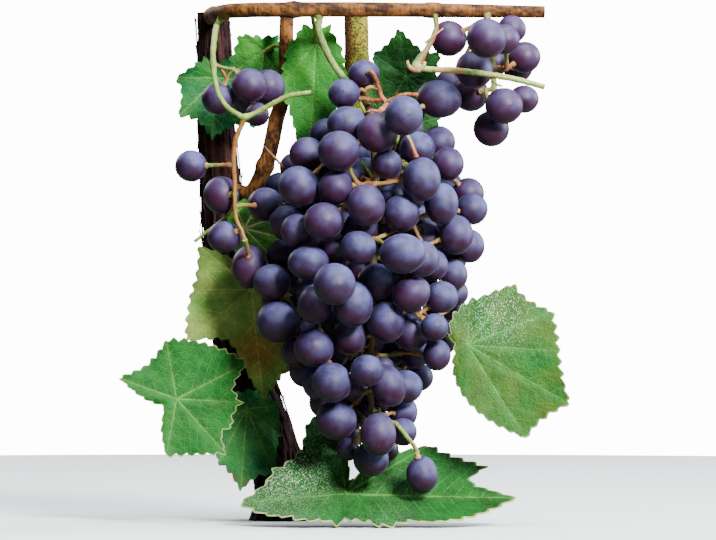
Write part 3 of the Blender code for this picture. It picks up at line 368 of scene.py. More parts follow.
# Small stems without a berry of their own: the piece that each belongs to, its colours from
# start to end, and its middle line with the radius there.
RUST, PINK, STRAW = (0.36, 0.07, 0.03), (0.46, 0.14, 0.09), (0.50, 0.36, 0.12)
MOSS, UMBER, DRIED = (0.20, 0.30, 0.04), (0.28, 0.11, 0.025), (0.02, 0.008, 0.004)
SMALL_STEMS = (
    ("bunch_stem", (UMBER, RUST, PINK), (
        ((86, -160, 452), 1.4), ((90, -163, 453.5), 2), ((94, -161, 448), 2), ((96.5, -156, 441), 2.2),
        ((98.5, -152, 434), 2.4), ((101, -152, 428), 2.6), ((105.5, -156, 422.5), 2.9),
    )),
    ("bunch_stem", (RUST, STRAW), (
        ((76, -152, 433), 1.7), ((80, -153, 436), 2.1), ((83.5, -153, 435), 1.9),
        ((87, -153, 438), 2), ((92, -153, 438.5), 1.8), ((97, -154, 437), 2.2),
    )),
    ("bunch_stem", (UMBER, UMBER, RUST), (
        ((76, -147, 427.5), 2.4), ((84, -148, 427), 2.5), ((92, -149, 425.5), 2.2),
        ((101, -152, 426), 2.2),
    )),
    ("bunch_stem", (PINK, PINK, STRAW), (
        ((108, -157, 424), 2.6), ((103, -158, 418), 2.7), ((98, -160, 413.5), 2.6),
        ((93, -150, 406), 2.6),
    )),
    ("bunch_stem", (PINK, RUST), (
        ((99, -160, 414), 1.4), ((92, -162, 415), 1.3), ((86, -160, 413), 1.3), ((83, -146, 409), 1.3),
    )),
    ("bunch_stem", (MOSS, MOSS), (
        ((79, -146, 424), 1.6), ((81.5, -150, 418), 1.5), ((85, -148, 411), 1.6),
    )),
    ("bunch_stem", (PINK, UMBER, RUST), (
        ((104, -157, 423), 2.2), ((111, -160, 426), 1.9), ((119, -163, 430), 1.7),
        ((127, -162, 431.3), 1.7), ((132, -159, 431), 1.8), ((136, -157, 430.5), 2.5),
    )),
    ("bunch_stem", (UMBER, DRIED), (
        ((114, -161, 428), 1.3), ((115.5, -163, 432), 1.5), ((116.5, -164, 435), 0.9),
    )),
    ("bunch_stem", (STRAW, STRAW, RUST), (
        ((121, -172, 397), 1.7), ((125.5, -188, 390), 1.8), ((129.5, -196, 382.5), 1.7),
        ((132, -199, 375.5), 1.9), ((135, -199.5, 367.5), 3),
    )),
    ("bunch_stem", (MOSS, MOSS), (
        ((117.5, -160, 391), 1.6), ((116, -162, 385), 1.6), ((113.5, -156, 379.5), 1.7),
        ((111, -150, 375.5), 2.6),
    )),
    ("bunch_stem", (MOSS, MOSS, PINK, UMBER), (
        ((80, -158, 364.5), 1.7), ((84.5, -157, 357.5), 1.8), ((89.5, -156, 349.5), 2),
        ((92.5, -155, 343.5), 2.4), ((96.5, -152, 340.5), 2.4), ((107.5, -150, 344.5), 2),
        ((117.5, -150, 348), 1.8), ((124, -152, 353), 1.8),
    )),
    ("bunch_stem", (RUST, UMBER), (
        ((77, -140, 357), 1.8), ((74, -142, 351.5), 1.9), ((77.5, -141, 345), 1.8),
        ((86, -140, 339), 1.8),
    )),
    ("bunch_stem", (UMBER, STRAW), (
        ((91, -140, 102), 2), ((83, -140, 99), 2.2), ((79, -139, 91), 2.4), ((78, -138, 81), 2.6),
    )),
    ("bunch_stem", (UMBER, STRAW), (
        ((92, -140, 182), 2), ((84, -140, 179), 1.8), ((80, -140, 174), 2.4),
    )),
    ("bunch_stem", (UMBER, UMBER), (
        ((92, -140, 178), 2), ((95, -140, 172), 2.4), ((96, -140, 166), 2),
    )),
    ("bunch_stem", (UMBER, DRIED, DRIED), (
        ((91, -140, 300), 2.6), ((78, -138, 312), 2.6), ((60, -134, 322), 2.6), ((41, -130, 325), 3),
        ((25, -128, 323), 2.8), ((7, -125, 321.5), 3.4), ((-3, -125, 319), 2.4),
    )),
    ("bunch_stem", (UMBER, DRIED, DRIED), (
        ((91, -140, 98), 2.2), ((84, -136, 108.5), 2.6), ((72, -132, 118), 2.4), ((61, -130, 128), 2.4),
    )),
    ("left_shoot", (DRIED, UMBER, DRIED), (
        ((-17, -144, 380), 1.2), ((-12, -144, 374), 1.4), ((-5, -142, 367), 1.3), ((1, -138, 360), 1.3),
        ((3, -134, 355.5), 1.9),
    )),
    ("left_shoot", (UMBER, RUST), (
        ((-61, -141, 459), 1.2), ((-57, -142, 452), 1.5), ((-55, -140, 447), 1.3),
    )),
    ("left_shoot", (STRAW, MOSS, MOSS, MOSS), (
        ((-45, -149, 321), 2), ((-50, -141, 315), 1.7), ((-56, -130, 308.5), 1.6),
        ((-67, -122, 300), 1.6), ((-78, -120, 291.5), 1.7), ((-87, -122, 284.5), 1.8),
    )),
    ("right_shoot", (STRAW, PINK, STRAW), (
        ((126, -176, 464), 1.4), ((127.5, -177.5, 459), 2.1), ((131.5, -179, 455), 2.4),
        ((137, -180.5, 454.5), 2.4), ((141.5, -180, 458), 2.2), ((143.5, -179, 463), 1.5),
    )),
    ("right_shoot", (RUST, STRAW), (
        ((144, -162, 482), 1.2), ((152, -160, 489), 1), ((162, -156, 497), 0.8),
    )),
    ("right_shoot", (MOSS, STRAW), (
        ((210, -184, 446), 1.6), ((214, -182, 441), 1.4), ((220, -180, 438.5), 1.2),
    )),
)
OWN_TONES = (UMBER, STRAW, MOSS, MOSS, STRAW)

# Wood: how deep the trunk's fissures are and how wide, and the colours of bark, canes,
# lichen and cuts. The darkest bark colour is painted shade, laid on most in the fissures.
FISSURE, FISSURE_WIDTH = 2.4, 0.17
BARK_RED = (0.024, 0.0045, 0.0048)
BARK_GREY = (0.028, 0.011, 0.010)
BARK_PALE = (0.052, 0.024, 0.019)
BARK_FISSURE_SHADE = (0.004, 0.0015, 0.0015)
CANE_ORANGE = (0.26, 0.10, 0.025)
CANE_DARK = (0.035, 0.015, 0.008)
LICHEN_BARK = (0.13, 0.045, 0.012)
LICHEN_YELLOW = (0.34, 0.30, 0.03)
LICHEN_GREEN = (0.19, 0.23, 0.03)
LICHEN_SPECK = (0.045, 0.02, 0.006, 1)
CUT_PALE = (0.42, 0.28, 0.14)
CUT_DARK = (0.2, 0.11, 0.05)
# Loose strips of bark: how many, the steps along one, and its section as (sideways, outwards).
BARK_STRIPS = 80
STRIP_STEPS = 22
STRIP_SECTION = ((-1, 0), (-0.4, 0.75), (0.4, 0.75), (1, 0), (0.4, -0.5), (-0.4, -0.5))
# Distances along the two canes where a joint swells, and its width.
CANE_JOINTS = (30, 160, 300)
BROWN_JOINTS = (60, 150)
JOINT_WIDTH = 5
# How far a cane reaches into the trunk, and how much wider it is there.
CANE_SINK, CANE_FLARE = 5, 1.3
LICHEN_SINK, LICHEN_FLARE = 6, 1.2

# A leaf's blade: half its thickness, how soft its crease is, its waves and their number
# round the leaf, its puckers and the sizes of the wide and the fine ones, and the valley
# along a main vein with its width.
LEAF_HALF = 0.45
CREASE = 3
WAVE, WAVES_ROUND = 2.4, 5
PUCKER, PUCKER_WIDE, PUCKER_FINE = 0.8, 9, 3.6
VALLEY, VALLEY_WIDTH = 1.2, 4
# The teeth of a rim: the degrees from one measured point of the rim to the next, the least
# length of a tooth, the least count, the depth as a share of the length, a tooth's outline
# from its start to its end, and the height that lies on the plain rim.
RIM_STEP = 0.5
TOOTH = 8
LEAST_TEETH = 12
TOOTH_DEPTH = 0.36
TOOTH_SHAPE = (0, 0.5, 0.85, 1, 0.6, 0.25)
TOOTH_MIDDLE = 0.45
# The smallest reach of a blade's ring, and its rings as shares of the way to the rim.
LEAST_REACH = 0.5
LEAF_RINGS = (
    0.02, 0.08, 0.14, 0.2, 0.26, 0.32, 0.38, 0.44, 0.5, 0.56, 0.62, 0.67, 0.72, 0.77, 0.82, 0.86,
    0.9, 0.94, 0.975, 1,
)
# Main veins: least angle between two, least length as a share of the longest lobe, how far
# each runs towards its tip, in how many steps. Then the half widths of veins and pale rim.
VEINS_APART = 22
VEIN_LEAST = 0.36
VEIN_REACH, VEIN_STEPS = 0.97, 24
MAIN_VEIN = 1.25
SIDE_VEIN = 0.62
VEIN_TAPER = 0.72
PALE_RIM, RIM_INSET = 0.5, 0.6
# A vein's ridge: points around it, how far it stands out of the blade, how much further for
# its width, and how far it is set back for its width.
RIDGE_SIDES = 8
RIDGE_OUT, RIDGE_ARCH, RIDGE_BACK = 0.1, 0.22, 0.12
# Secondary veins: the gap between two, the angle they leave at, each step along one, how
# much it turns back at each step, and the most steps.
VEIN_GAP = 13
VEIN_ANGLE = 52
VEIN_STEP = 3
VEIN_BEND = 1.6
VEIN_POINTS = 30
# How far a petiole's end is set back into its blade, how much thinner it is than its solid,
# and its colours.
PETIOLE_END = Vector((0, 3.2, 0))
PETIOLE_SLIM = 0.85
PETIOLE_GREEN, PETIOLE_WARM = (0.16, 0.30, 0.04), (0.36, 0.34, 0.09)
LEAF_UNDER = (0.12, 0.2, 0.08)
GREEN, OLIVE, LIME = (0.005, 0.105, 0.012), (0.050, 0.100, 0.008), (0.035, 0.23, 0.014)
DEEP, TEAL, CREAM = (0.003, 0.050, 0.008), (0.004, 0.10, 0.035), (0.4, 0.46, 0.15)
BROWN, PALE_VEIN = (0.14, 0.045, 0.010), (0.09, 0.27, 0.05)
# Each leaf's two greens, its veins and its edge.
LEAF_COLOURS = {
    "leaf_left_front": (GREEN, GREEN, PALE_VEIN, CREAM),
    "leaf_lower_left": (TEAL, (0.02, 0.17, 0.03), (0.12, 0.30, 0.07), TEAL),
    "leaf_bottom": (GREEN, DEEP, PALE_VEIN, CREAM),
    "leaf_left_centre": ((0.26, 0.34, 0.07), (0.10, 0.26, 0.035), (0.36, 0.42, 0.11), OLIVE),
    "leaf_left_inner": (LIME, GREEN, CREAM, LIME),
    "leaf_top": (LIME, GREEN, PALE_VEIN, LIME),
    "leaf_top_right": (DEEP, (0.004, 0.06, 0.006), (0.03, 0.12, 0.03), DEEP),
    "leaf_top_left": (TEAL, GREEN, PALE_VEIN, TEAL),
    "leaf_top_inner": (LIME, GREEN, PALE_VEIN, LIME),
    "leaf_right": (GREEN, OLIVE, PALE_VEIN, CREAM),
    "leaf_back_upper": (GREEN, DEEP, PALE_VEIN, GREEN),
    "leaf_back_lower": (GREEN, OLIVE, PALE_VEIN, GREEN),
}
# Brown patches on a leaf: (right, up, radius, colour).
LEAF_SPOTS = {
    "leaf_left_centre": ((6, -62, 26, (0.32, 0.17, 0.03)), (-16, -98, 12, BROWN)),
    "leaf_lower_left": ((-20, -72, 10, BROWN), (4, -80, 8, BROWN)),
}
# Where painted glints lie on a leaf, pale specks that stand in for shine off the glossy blade:
# (right, up, radius, share).
LEAF_PAINTED_GLINTS = {
    "leaf_bottom": ((-66, 20, 46, 0.9), (40, -30, 30, 0.25)),
    "leaf_right": ((30, 34, 32, 0.75), (20, -60, 60, 0.05)),
}

# The picture's frame, and the pixel where the origin under the trunk lies.
PHOTO_WIDTH, PHOTO_HEIGHT = 716, 540
ORIGIN_PIXEL = (281, 526)
CAMERA_AWAY = 3
SENSOR = 36
FLOOR_SIZE, FLOOR_SIDES = 1.1, 96
WORLD_LIGHT = 0.016
BACKDROP = 14
# The floor is pale to the eye, but throws little light up at the vine.
FLOOR_SEEN = 0.95
FLOOR_BOUNCE = 0.1
# Lights in metres: name, place, size, watts and colour. All of them face LIGHTS_AIM.
LIGHTS_AIM = Vector((0.045, -0.07, 0.13))
LIGHTS = (
    ("key", (1.05, -1.8, 1.25), 0.6, 160, (0.96, 0.99, 1)),
    ("sky", (0.3, -0.4, 2.1), 1.5, 80, (0.88, 0.96, 1)),
    ("rim", (1.8, 0.45, 0.7), 1.0, 60, (0.84, 0.94, 1)),
    ("back", (-1.2, 1.6, 1.2), 1, 22, (1, 1, 1)),
)


# ---------------------------------------------------------------- drawing the layout


def polar(angle, reach=1):
    """Right and up for an angle in degrees and a distance."""
    return reach * math.cos(math.radians(angle)), reach * math.sin(math.radians(angle))


def at_height(outline, z):
    """Half width and middle of a bunch at height z, read between the outline's rows."""
    heights = [row[0] for row in outline]
    if not heights[0] < z < heights[-1]:
        row = outline[0] if z <= heights[0] else outline[-1]
        return row[1], row[2]
    upper = bisect.bisect_right(heights, z)
    low, high = outline[upper - 1], outline[upper]
    share = (z - low[0]) / (high[0] - low[0])
    return low[1] + share * (high[1] - low[1]), low[2] + share * (high[2] - low[2])


def smooth(rows, pieces):
    """The same middle line with points added between its rows on a Catmull-Rom curve."""
    points = [Vector(place) for place, _ in rows]
    radii = [radius for _, radius in rows]
    points = [2 * points[0] - points[1], *points, 2 * points[-1] - points[-2]]
    found = []
    for start in range(len(rows) - 1):
        a, b, c, d = points[start : start + 4]
        for step in range(pieces):
            t = step / pieces
            bend = 2 * b + (c - a) * t + (2 * a - 5 * b + 4 * c - d) * t**2
            place = (bend + (3 * b - a - 3 * c + d) * t**3) / 2
            found.append((place, radii[start] + (radii[start + 1] - radii[start]) * t))
    return [*found, (points[-2], radii[-1])]


class Berry:
    """An egg of revolution: its centre, its long axis, half its length and half its width."""

    def __init__(self, centre, axis, long, short):
        self.centre = Vector(centre)
        self.axis = Vector(axis).normalized()
        self.long = long
        self.short = short

    def reach(self, way):
        """How far the berry reaches from its centre along a unit vector."""
        along = way.dot(self.axis) ** 2
        return math.sqrt(self.short**2 * (1 - along) + self.long**2 * along)

    def clears(self, other, gap=BERRY_GAP):
        """True where another berry keeps its gap from this one."""
        way = other.centre - self.centre
        far = way.length
        if far > self.long + other.long + gap:
            return True
        return far > 0 and far > self.reach(way / far) + other.reach(way / far) + gap

    def clears_rod(self, start, end, radius):
        """True where a straight piece of stem keeps its gap from this berry."""
        along = end - start
        share = (self.centre - start).dot(along) / along.length_squared
        way = start + along * min(1, max(0, share)) - self.centre
        far = way.length
        if far > self.long + radius + TWIG_GAP:
            return True
        return far > 0 and far > self.reach(way / far) + radius + TWIG_GAP


def rods_of(line):
    """The straight pieces of a middle line, each with its larger radius."""
    return [(a, b, max(ra, rb)) for (a, ra), (b, rb) in zip(line, line[1:])]


def free(berry, berries, rods):
    """True where the berry touches neither a berry nor a stem."""
    if not all(berry.clears(other) for other in berries):
        return False
    return all(berry.clears_rod(*rod) for rod in rods)


def picture_axis(angle):
    """A direction in the picture's plane."""
    right, up = polar(angle)
    return Vector((right, 0, up))


def drop_back(row, start, berries, rods):
    """A berry at its place, pushed back from start until nothing touches it."""
    x, z, long, short, angle = row
    berry = Berry((x, start, z), picture_axis(angle), long, short)
    while not free(berry, berries, rods):
        berry.centre.y += STEP
    return berry


def front_of(outline, middle, x, z):
    """Depth of the bunch's front skin at a place, for the centre of a berry."""
    half, centre = at_height(outline, z)
    half = max(half - BERRY_SIZE, LEAST_HALF)
    across = min(1, abs(x - centre) / half)
    return middle - BUNCH_DEPTH * half * math.sqrt(1 - across**2)


def step_behind(front, back):
    """How far a berry must lie behind another, seen from the front, to clear it."""
    berry = Berry((back.centre.x, front.centre.y, back.centre.z), back.axis, back.long, back.short)
    step = 0
    while not berry.clears(front, BERRY_GAP + STEP / 5):
        step += STEP
        berry.centre.y += STEP
    return step


def before_stem(berry, middle, rods):
    """The furthest back that a berry's centre may lie and still be in front of the stem."""
    behind = middle + 2 * BERRY_SIZE
    test = Berry((berry.centre.x, behind, berry.centre.z), berry.axis, berry.long, berry.short)
    blocked = False
    while test.centre.y > middle - 3 * BERRY_SIZE:
        touching = not all(test.clears_rod(*rod) for rod in rods)
        if blocked and not touching:
            return test.centre.y
        blocked = blocked or touching
        test.centre.y -= STEP
    return test.centre.y if blocked else behind


def place_front(table, outline, middle, berries, rods, core):
    """Rows of berries, nearest first: each stays before the stem and behind the rows before it."""
    front = [Berry((x, 0, z), picture_axis(angle), long, short) for x, z, long, short, angle in table]
    latest = [before_stem(berry, middle, core) for berry in front]
    steps = {}
    for back in range(len(front) - 1, -1, -1):
        for near in range(back):
            step = step_behind(front[near], front[back])
            if step:
                steps[near, back] = step
    for back in range(len(front) - 1, -1, -1):
        for near in range(back):
            if (near, back) in steps:
                latest[near] = min(latest[near], latest[back] - steps[near, back])
    for back, berry in enumerate(front):
        berry.centre.y = min(front_of(outline, middle, berry.centre.x, berry.centre.z), latest[back])
        for near in range(back):
            if (near, back) in steps:
                berry.centre.y = max(berry.centre.y, front[near].centre.y + steps[near, back])
        while not free(berry, berries, rods + core):
            berry.centre.y += STEP
        berries.append(berry)


def covered(x, z, berries):
    """True where some berry hides a place from the front."""
    return any(math.hypot(x - berry.centre.x, z - berry.centre.z) < berry.short for berry in berries)


def fill_gaps(outline, middle, top, berries, rods):
    """Puts a berry behind each gap that the others leave open, seen from the front."""
    low = outline[0][0] + BERRY_SIZE
    for number in range(GAP_TRIES):
        z = low + (top - low) * ((number * EVEN_HEIGHT) % 1)
        half, centre = at_height(outline, z)
        half -= BERRY_SIZE / 2
        x = centre + half * (2 * ((number * EVEN_TURN) % 1) - 1)
        if covered(x, z, berries):
            continue
        start = front_of(outline, middle, x, z) + GAP_DEEP
        for size in GAP_BERRIES:
            berry = drop_back((x, z, size, size, 0), start, berries, rods)
            if berry.centre.y < middle + BUNCH_DEPTH * half + BERRY_SIZE:
                berries.append(berry)
                break


def place_back(outline, middle, top, berries, rods, rng):
    """Fills the sides and the back of a bunch with evenly scattered berries."""
    low = outline[0][0] + BERRY_SIZE
    for number in range(BACK_BERRY_TRIES):
        z = top - (top - low) * ((number * EVEN_HEIGHT) % 1)
        angle = 2 * math.pi * ((number * EVEN_TURN) % 1)
        half, centre = at_height(outline, z)
        half = max(half - BERRY_SIZE, LEAST_HALF)
        out = Vector((math.cos(angle), math.sin(angle) * BUNCH_DEPTH, 0)) * half
        axis = out.normalized() + Vector((0, 0, rng.uniform(*BACK_TILT)))
        sizes = (rng.uniform(*LARGE_BERRY), rng.uniform(*SMALL_BERRY))
        if out.y < BACK_STARTS * half:
            continue
        heart = Vector((centre, middle, z))
        for long in sizes:
            berry = Berry(heart + out, axis, long, long * ROUNDNESS)
            if not free(berry, berries, rods):
                continue
            inward = out.normalized() * STEP
            while free(berry, berries, rods) and (berry.centre - heart).length > LEAST_HALF:
                berry.centre -= inward
            berry.centre += inward
            berries.append(berry)
            break


def rim(tips, angle):
    """Distance from the veins' meeting point to the leaf's rim at an angle in degrees."""
    around = (*tips, (tips[0][0] + 360, *tips[0][1:]))
    angle = tips[0][0] + (angle - tips[0][0]) % 360
    for (start, reach, bay), (end, next_reach, _) in zip(around, around[1:]):
        if angle <= end:
            share = (angle - start) / (end - start)
            straight = reach + (next_reach - reach) * share
            return straight * (1 - bay * math.sin(math.pi * share) ** BAY_SHAPE)


def blade_point(leaf, angle, reach):
    """A point of the blade: its place in the front view, then its depth."""
    right, up = polar(angle, reach)
    lean_right, lean_up, lean_down = leaf["lean"]
    longest = max(tip[1] for tip in leaf["tips"])
    back = lean_right * right + (lean_up if up > 0 else lean_down) * up
    back -= leaf["cup"] * (reach / longest) ** 2
    return Vector(leaf["place"]) + Vector((right, back, up))


def seat_on(line, toward):
    """Where a stem that comes from a point meets a limb, a hair clear of the bark."""
    best = None
    for (a, ra), (b, rb) in zip(line, line[1:]):
        along = b - a
        share = min(1, max(0, (toward - a).dot(along) / along.length_squared))
        place = a + along * share
        if best is None or (toward - place).length < best[0]:
            best = ((toward - place).length, place, ra + (rb - ra) * share)
    _, place, radius = best
    out = (toward - place).normalized()
    return place + out * (radius + SEAT_GAP), out


def hung(rows, carrier):
    """A limb's middle line, begun a hair clear of the limb that carries it."""
    first, radius = rows[0]
    seat, out = seat_on(carrier, Vector(first))
    return [(seat, radius), *smooth(((seat + out * SEAT_STEP, radius), *rows), PIECES)]


def petiole_line(leaf, carriers):
    """The petiole's middle line, from the blade to its seat on the limb that bears it."""
    points = [Vector(leaf["place"]) + Vector((0, -1, 0)), *[Vector(point) for point in leaf["way"]]]
    seat, out = seat_on(carriers[leaf["carrier"]], points[-1])
    if (points[-1] - seat).length > 3 * SEAT_STEP:
        points.append(seat + out * 2 * SEAT_STEP)
    points.append(seat)
    return [(point, PETIOLE_RADIUS) for point in points]


# ---------------------------------------------------------------- growing the twigs


def between(start, end, other_start, other_end):
    """Least distance between two straight pieces, tested at steps along the first."""
    steps = max(2, int((end - start).length / PROBE_STEP))
    along = other_end - other_start
    least = 1e9
    for step in range(steps + 1):
        point = start.lerp(end, step / steps)
        share = min(1, max(0, (point - other_start).dot(along) / along.length_squared))
        least = min(least, (other_start + along * share - point).length)
    return least


class Twigs:
    """All laterals of one bunch. Each is a tree of straight pieces that bears berries."""

    def __init__(self, berries, rods):
        self.berries = berries
        self.rods = rods
        self.trees = []

    def open_way(self, start, end, tree, skip=None):
        """True where a twig from start to end misses every berry, stem and other tree."""
        for berry in self.berries:
            if berry is not skip and not berry.clears_rod(start, end, PEDICEL_RADIUS):
                return False
        for a, b, radius in self.rods:
            if between(start, end, a, b) < radius + PEDICEL_RADIUS + TWIG_GAP:
                return False
        for number, pieces in enumerate(self.trees):
            if number == tree:
                continue
            for a, b, radius in pieces:
                if between(start, end, a, b) < radius + PEDICEL_RADIUS + TWIG_GAP:
                    return False
        return True

    def holds(self, allowed):
        """Points where a new twig can start: (place, number of the tree)."""
        found = []
        for number in allowed:
            for start, end, _ in self.trees[number]:
                steps = max(1, int((end - start).length / HOLD_STEP))
                found += [(start.lerp(end, (step + 1) / steps), number) for step in range(steps)]
        return found

    def join(self, berry, rng, allowed):
        """Joins a berry to the nearest twig it can reach, straight or round one corner."""
        holds = sorted(self.holds(allowed), key=lambda hold: (hold[0] - berry.centre).length)
        for place, number in holds[:NEAREST_HOLDS]:
            if self.open_way(place, berry.centre, number, berry):
                self.grow(number, [place], berry)
                return
        for _ in range(CORNER_TRIES):
            way = Vector([rng.gauss(0, 1) for _ in range(3)]).normalized()
            corner = berry.centre + way * (berry.long + rng.uniform(*CORNER_REACH))
            if not self.open_way(corner, berry.centre, -1, berry):
                continue
            nearest = sorted(holds, key=lambda hold: (hold[0] - corner).length)
            for place, number in nearest[:NEAREST_TO_CORNER]:
                inner_way = self.open_way(place, corner, number)
                if inner_way and self.open_way(corner, berry.centre, number, berry):
                    self.grow(number, [place, corner], berry)
                    return
        raise ValueError(f"no twig reaches the berry at {berry.centre}")

    def grow(self, number, route, berry):
        """Adds a berry's stalk to a tree, up to the berry's skin."""
        berry.tree = number
        berry.route = route
        for start, end in zip(route, [*route[1:], berry.centre]):
            stop = end
            if end is berry.centre:
                way = (end - start).normalized()
                stop = end - way * berry.reach(way)
            if (stop - start).length > STEP:
                self.trees[number].append((start, stop, PEDICEL_RADIUS))


def along_line(line, share):
    """Point, radius and direction at a share of a middle line's length."""
    lengths = [(b[0] - a[0]).length for a, b in zip(line, line[1:])]
    left = share * sum(lengths)
    for (a, ra), (b, rb), length in zip(line, line[1:], lengths):
        if left <= length:
            t = left / length
            return a.lerp(b, t), ra + (rb - ra) * t, (b - a).normalized()
        left -= length
    a, b = line[-2][0], line[-1][0]
    return b, line[-1][1], (b - a).normalized()


def first_twig(twigs, place, radius, up, number, half):
    """A lateral's first straight piece: it leaves the stem where it first finds room."""
    side = up.orthogonal().normalized()
    for turn in range(FULL_TURNS):
        angle = (number + turn) * GOLDEN_ANGLE
        out = Matrix.Rotation(math.radians(angle), 3, up) @ side
        start = place + out * (radius + SEAT_GAP)
        for length in (LONG_LATERAL * half, MIDDLE_LATERAL * half, *SHORT_LATERALS):
            end = start + out * length - Vector((0, 0, LATERAL_DROOP * length))
            if not all(b.clears_rod(start, end, TWIG_RADIUS) for b in twigs.berries):
                continue
            near = [between(start, end, a, b) - r for tree in twigs.trees for a, b, r in tree]
            if not near or min(near) >= TWIG_RADIUS + 2 * TWIG_GAP:
                return (start, end, TWIG_RADIUS)
    return None


def seed_laterals(twigs, line, count, first, outline):
    """Starts the laterals on the bunch's stem, turned by the golden angle from each to the next."""
    for number in range(count):
        share = first + (1 - first) * number / count
        place, radius, up = along_line(line, share)
        half, _ = at_height(outline, place.z)
        piece = first_twig(twigs, place, radius, up, number, half)
        if piece:
            twigs.trees.append([piece])


def grow_bunch(name, line, berries, twigs, rng):
    """Joins a bunch's berries to its laterals: {node name: (berries, straight pieces)}."""

    def from_stem(berry):
        return min((berry.centre - place).length for place, _ in line)

    for berry in sorted(berries, key=from_stem):
        twigs.join(berry, rng, range(len(twigs.trees)))
    bearing = sorted({berry.tree for berry in berries})
    groups = {}
    for number, tree in enumerate(bearing, 1):
        group = [berry for berry in berries if berry.tree == tree]
        groups[f"{name}_{number:02d}"] = (group, twigs.trees[tree])
    return groups


def limb_lines():
    """The middle lines of the wood and of the green stems, by name."""
    limbs = {"trunk": smooth(TRUNK, PIECES)}
    canes = {"fruiting_cane": FRUITING_CANE, "brown_cane": BROWN_CANE, "lichen_cane": LICHEN_CANE}
    stems = {"bunch_stem": BUNCH_STEM, "right_stem": RIGHT_STEM}
    stems |= {"left_shoot": LEFT_SHOOT, "right_shoot": RIGHT_SHOOT}
    for name, rows in canes.items():
        limbs[name] = hung(rows, limbs["trunk"])
    for name, rows in stems.items():
        limbs[name] = hung(rows, limbs["fruiting_cane"])
    limbs["left_arm"] = smooth(LEFT_ARM, PIECES)
    limbs["small_lateral"] = smooth(SMALL_LATERAL, PIECES)
    return limbs


def blade_ribs(leaf):
    """Straight pieces across a blade, which berries keep clear of."""
    place = Vector(leaf["place"])
    ends = [blade_point(leaf, angle, rim(leaf["tips"], angle)) for angle in range(0, 360, RIB_ANGLE)]
    return [(place, end, RIB_RADIUS) for end in ends]


def layout(limbs):
    """Places every berry and grows every twig.

    It gives {node: (berries, straight pieces)} for the laterals, and the left shoot's berries.
    """
    rng = random.Random(SEED)
    stem, right = limbs["bunch_stem"], limbs["right_stem"]
    others = [line for name, line in limbs.items() if name not in ("bunch_stem", "right_stem")]
    others += [petiole_line(leaf, limbs) for leaf in LEAVES.values()]
    fixed = [rod for line in others for rod in rods_of(line)]
    ribs = [rib for leaf in LEAVES.values() for rib in blade_ribs(leaf)]
    blades = fixed + ribs
    core = [(a, b, radius + CORE_SPACE) for a, b, radius in rods_of(stem)]
    right_core = [(a, b, radius + CORE_SPACE) for a, b, radius in rods_of(right)]
    taken = []
    place_front(FRONT_BERRIES, BUNCH_OUTLINE, BUNCH_Y, taken, fixed, core)
    for row in INNER_BERRIES:
        start = front_of(BUNCH_OUTLINE, BUNCH_Y, row[0], row[1])
        taken.append(drop_back(row, start, taken, fixed + core))
    left = []
    for row in (*SMALL_BERRIES, *WING_BERRIES):
        left.append(drop_back(row[:5], row[5], taken, fixed))
        taken.append(left[-1])
    fill_gaps(BUNCH_OUTLINE, BUNCH_Y, FULL_TOP, taken, blades + core)
    place_back(BUNCH_OUTLINE, BUNCH_Y, FULL_TOP, taken, blades + core, rng)
    main = [berry for berry in taken if berry not in left]
    place_front(RIGHT_BERRIES, RIGHT_OUTLINE, RIGHT_Y, taken, fixed, right_core)
    place_back(RIGHT_OUTLINE, RIGHT_Y, RIGHT_TOP, taken, blades + right_core, rng)
    side = taken[len(main) + len(left) :]
    twigs = Twigs(taken, rods_of(stem) + blades)
    seed_laterals(twigs, stem, LATERALS, FIRST_LATERAL, BUNCH_OUTLINE)
    groups = grow_bunch("bunch_lateral", stem, main, twigs, rng)
    twigs = Twigs(taken, rods_of(right) + rods_of(limbs["right_shoot"]))
    seed_laterals(twigs, right, RIGHT_LATERALS, FIRST_RIGHT_LATERAL, RIGHT_OUTLINE)
    groups |= grow_bunch("right_lateral", right, side, twigs, rng)
    twigs = Twigs(taken, ribs + [piece for _, pieces in groups.values() for piece in pieces])
    twigs.trees = [rods_of(limbs["small_lateral"]), rods_of(limbs["left_arm"])]
    for number, berry in enumerate(left):
        twigs.join(berry, rng, (0 if number < len(SMALL_BERRIES) else 1,))
    return groups, left


# ---------------------------------------------------------------- looks


def fading(distance, width):
    """1 at no distance, falling smoothly to almost 0 at twice the width."""
    return math.exp(-((distance / width) ** 2))


def mix(one, other, share):
    """A colour between two others."""
    share = min(1, max(0, share))
    return tuple(a + (b - a) * share for a, b in zip(one, other))


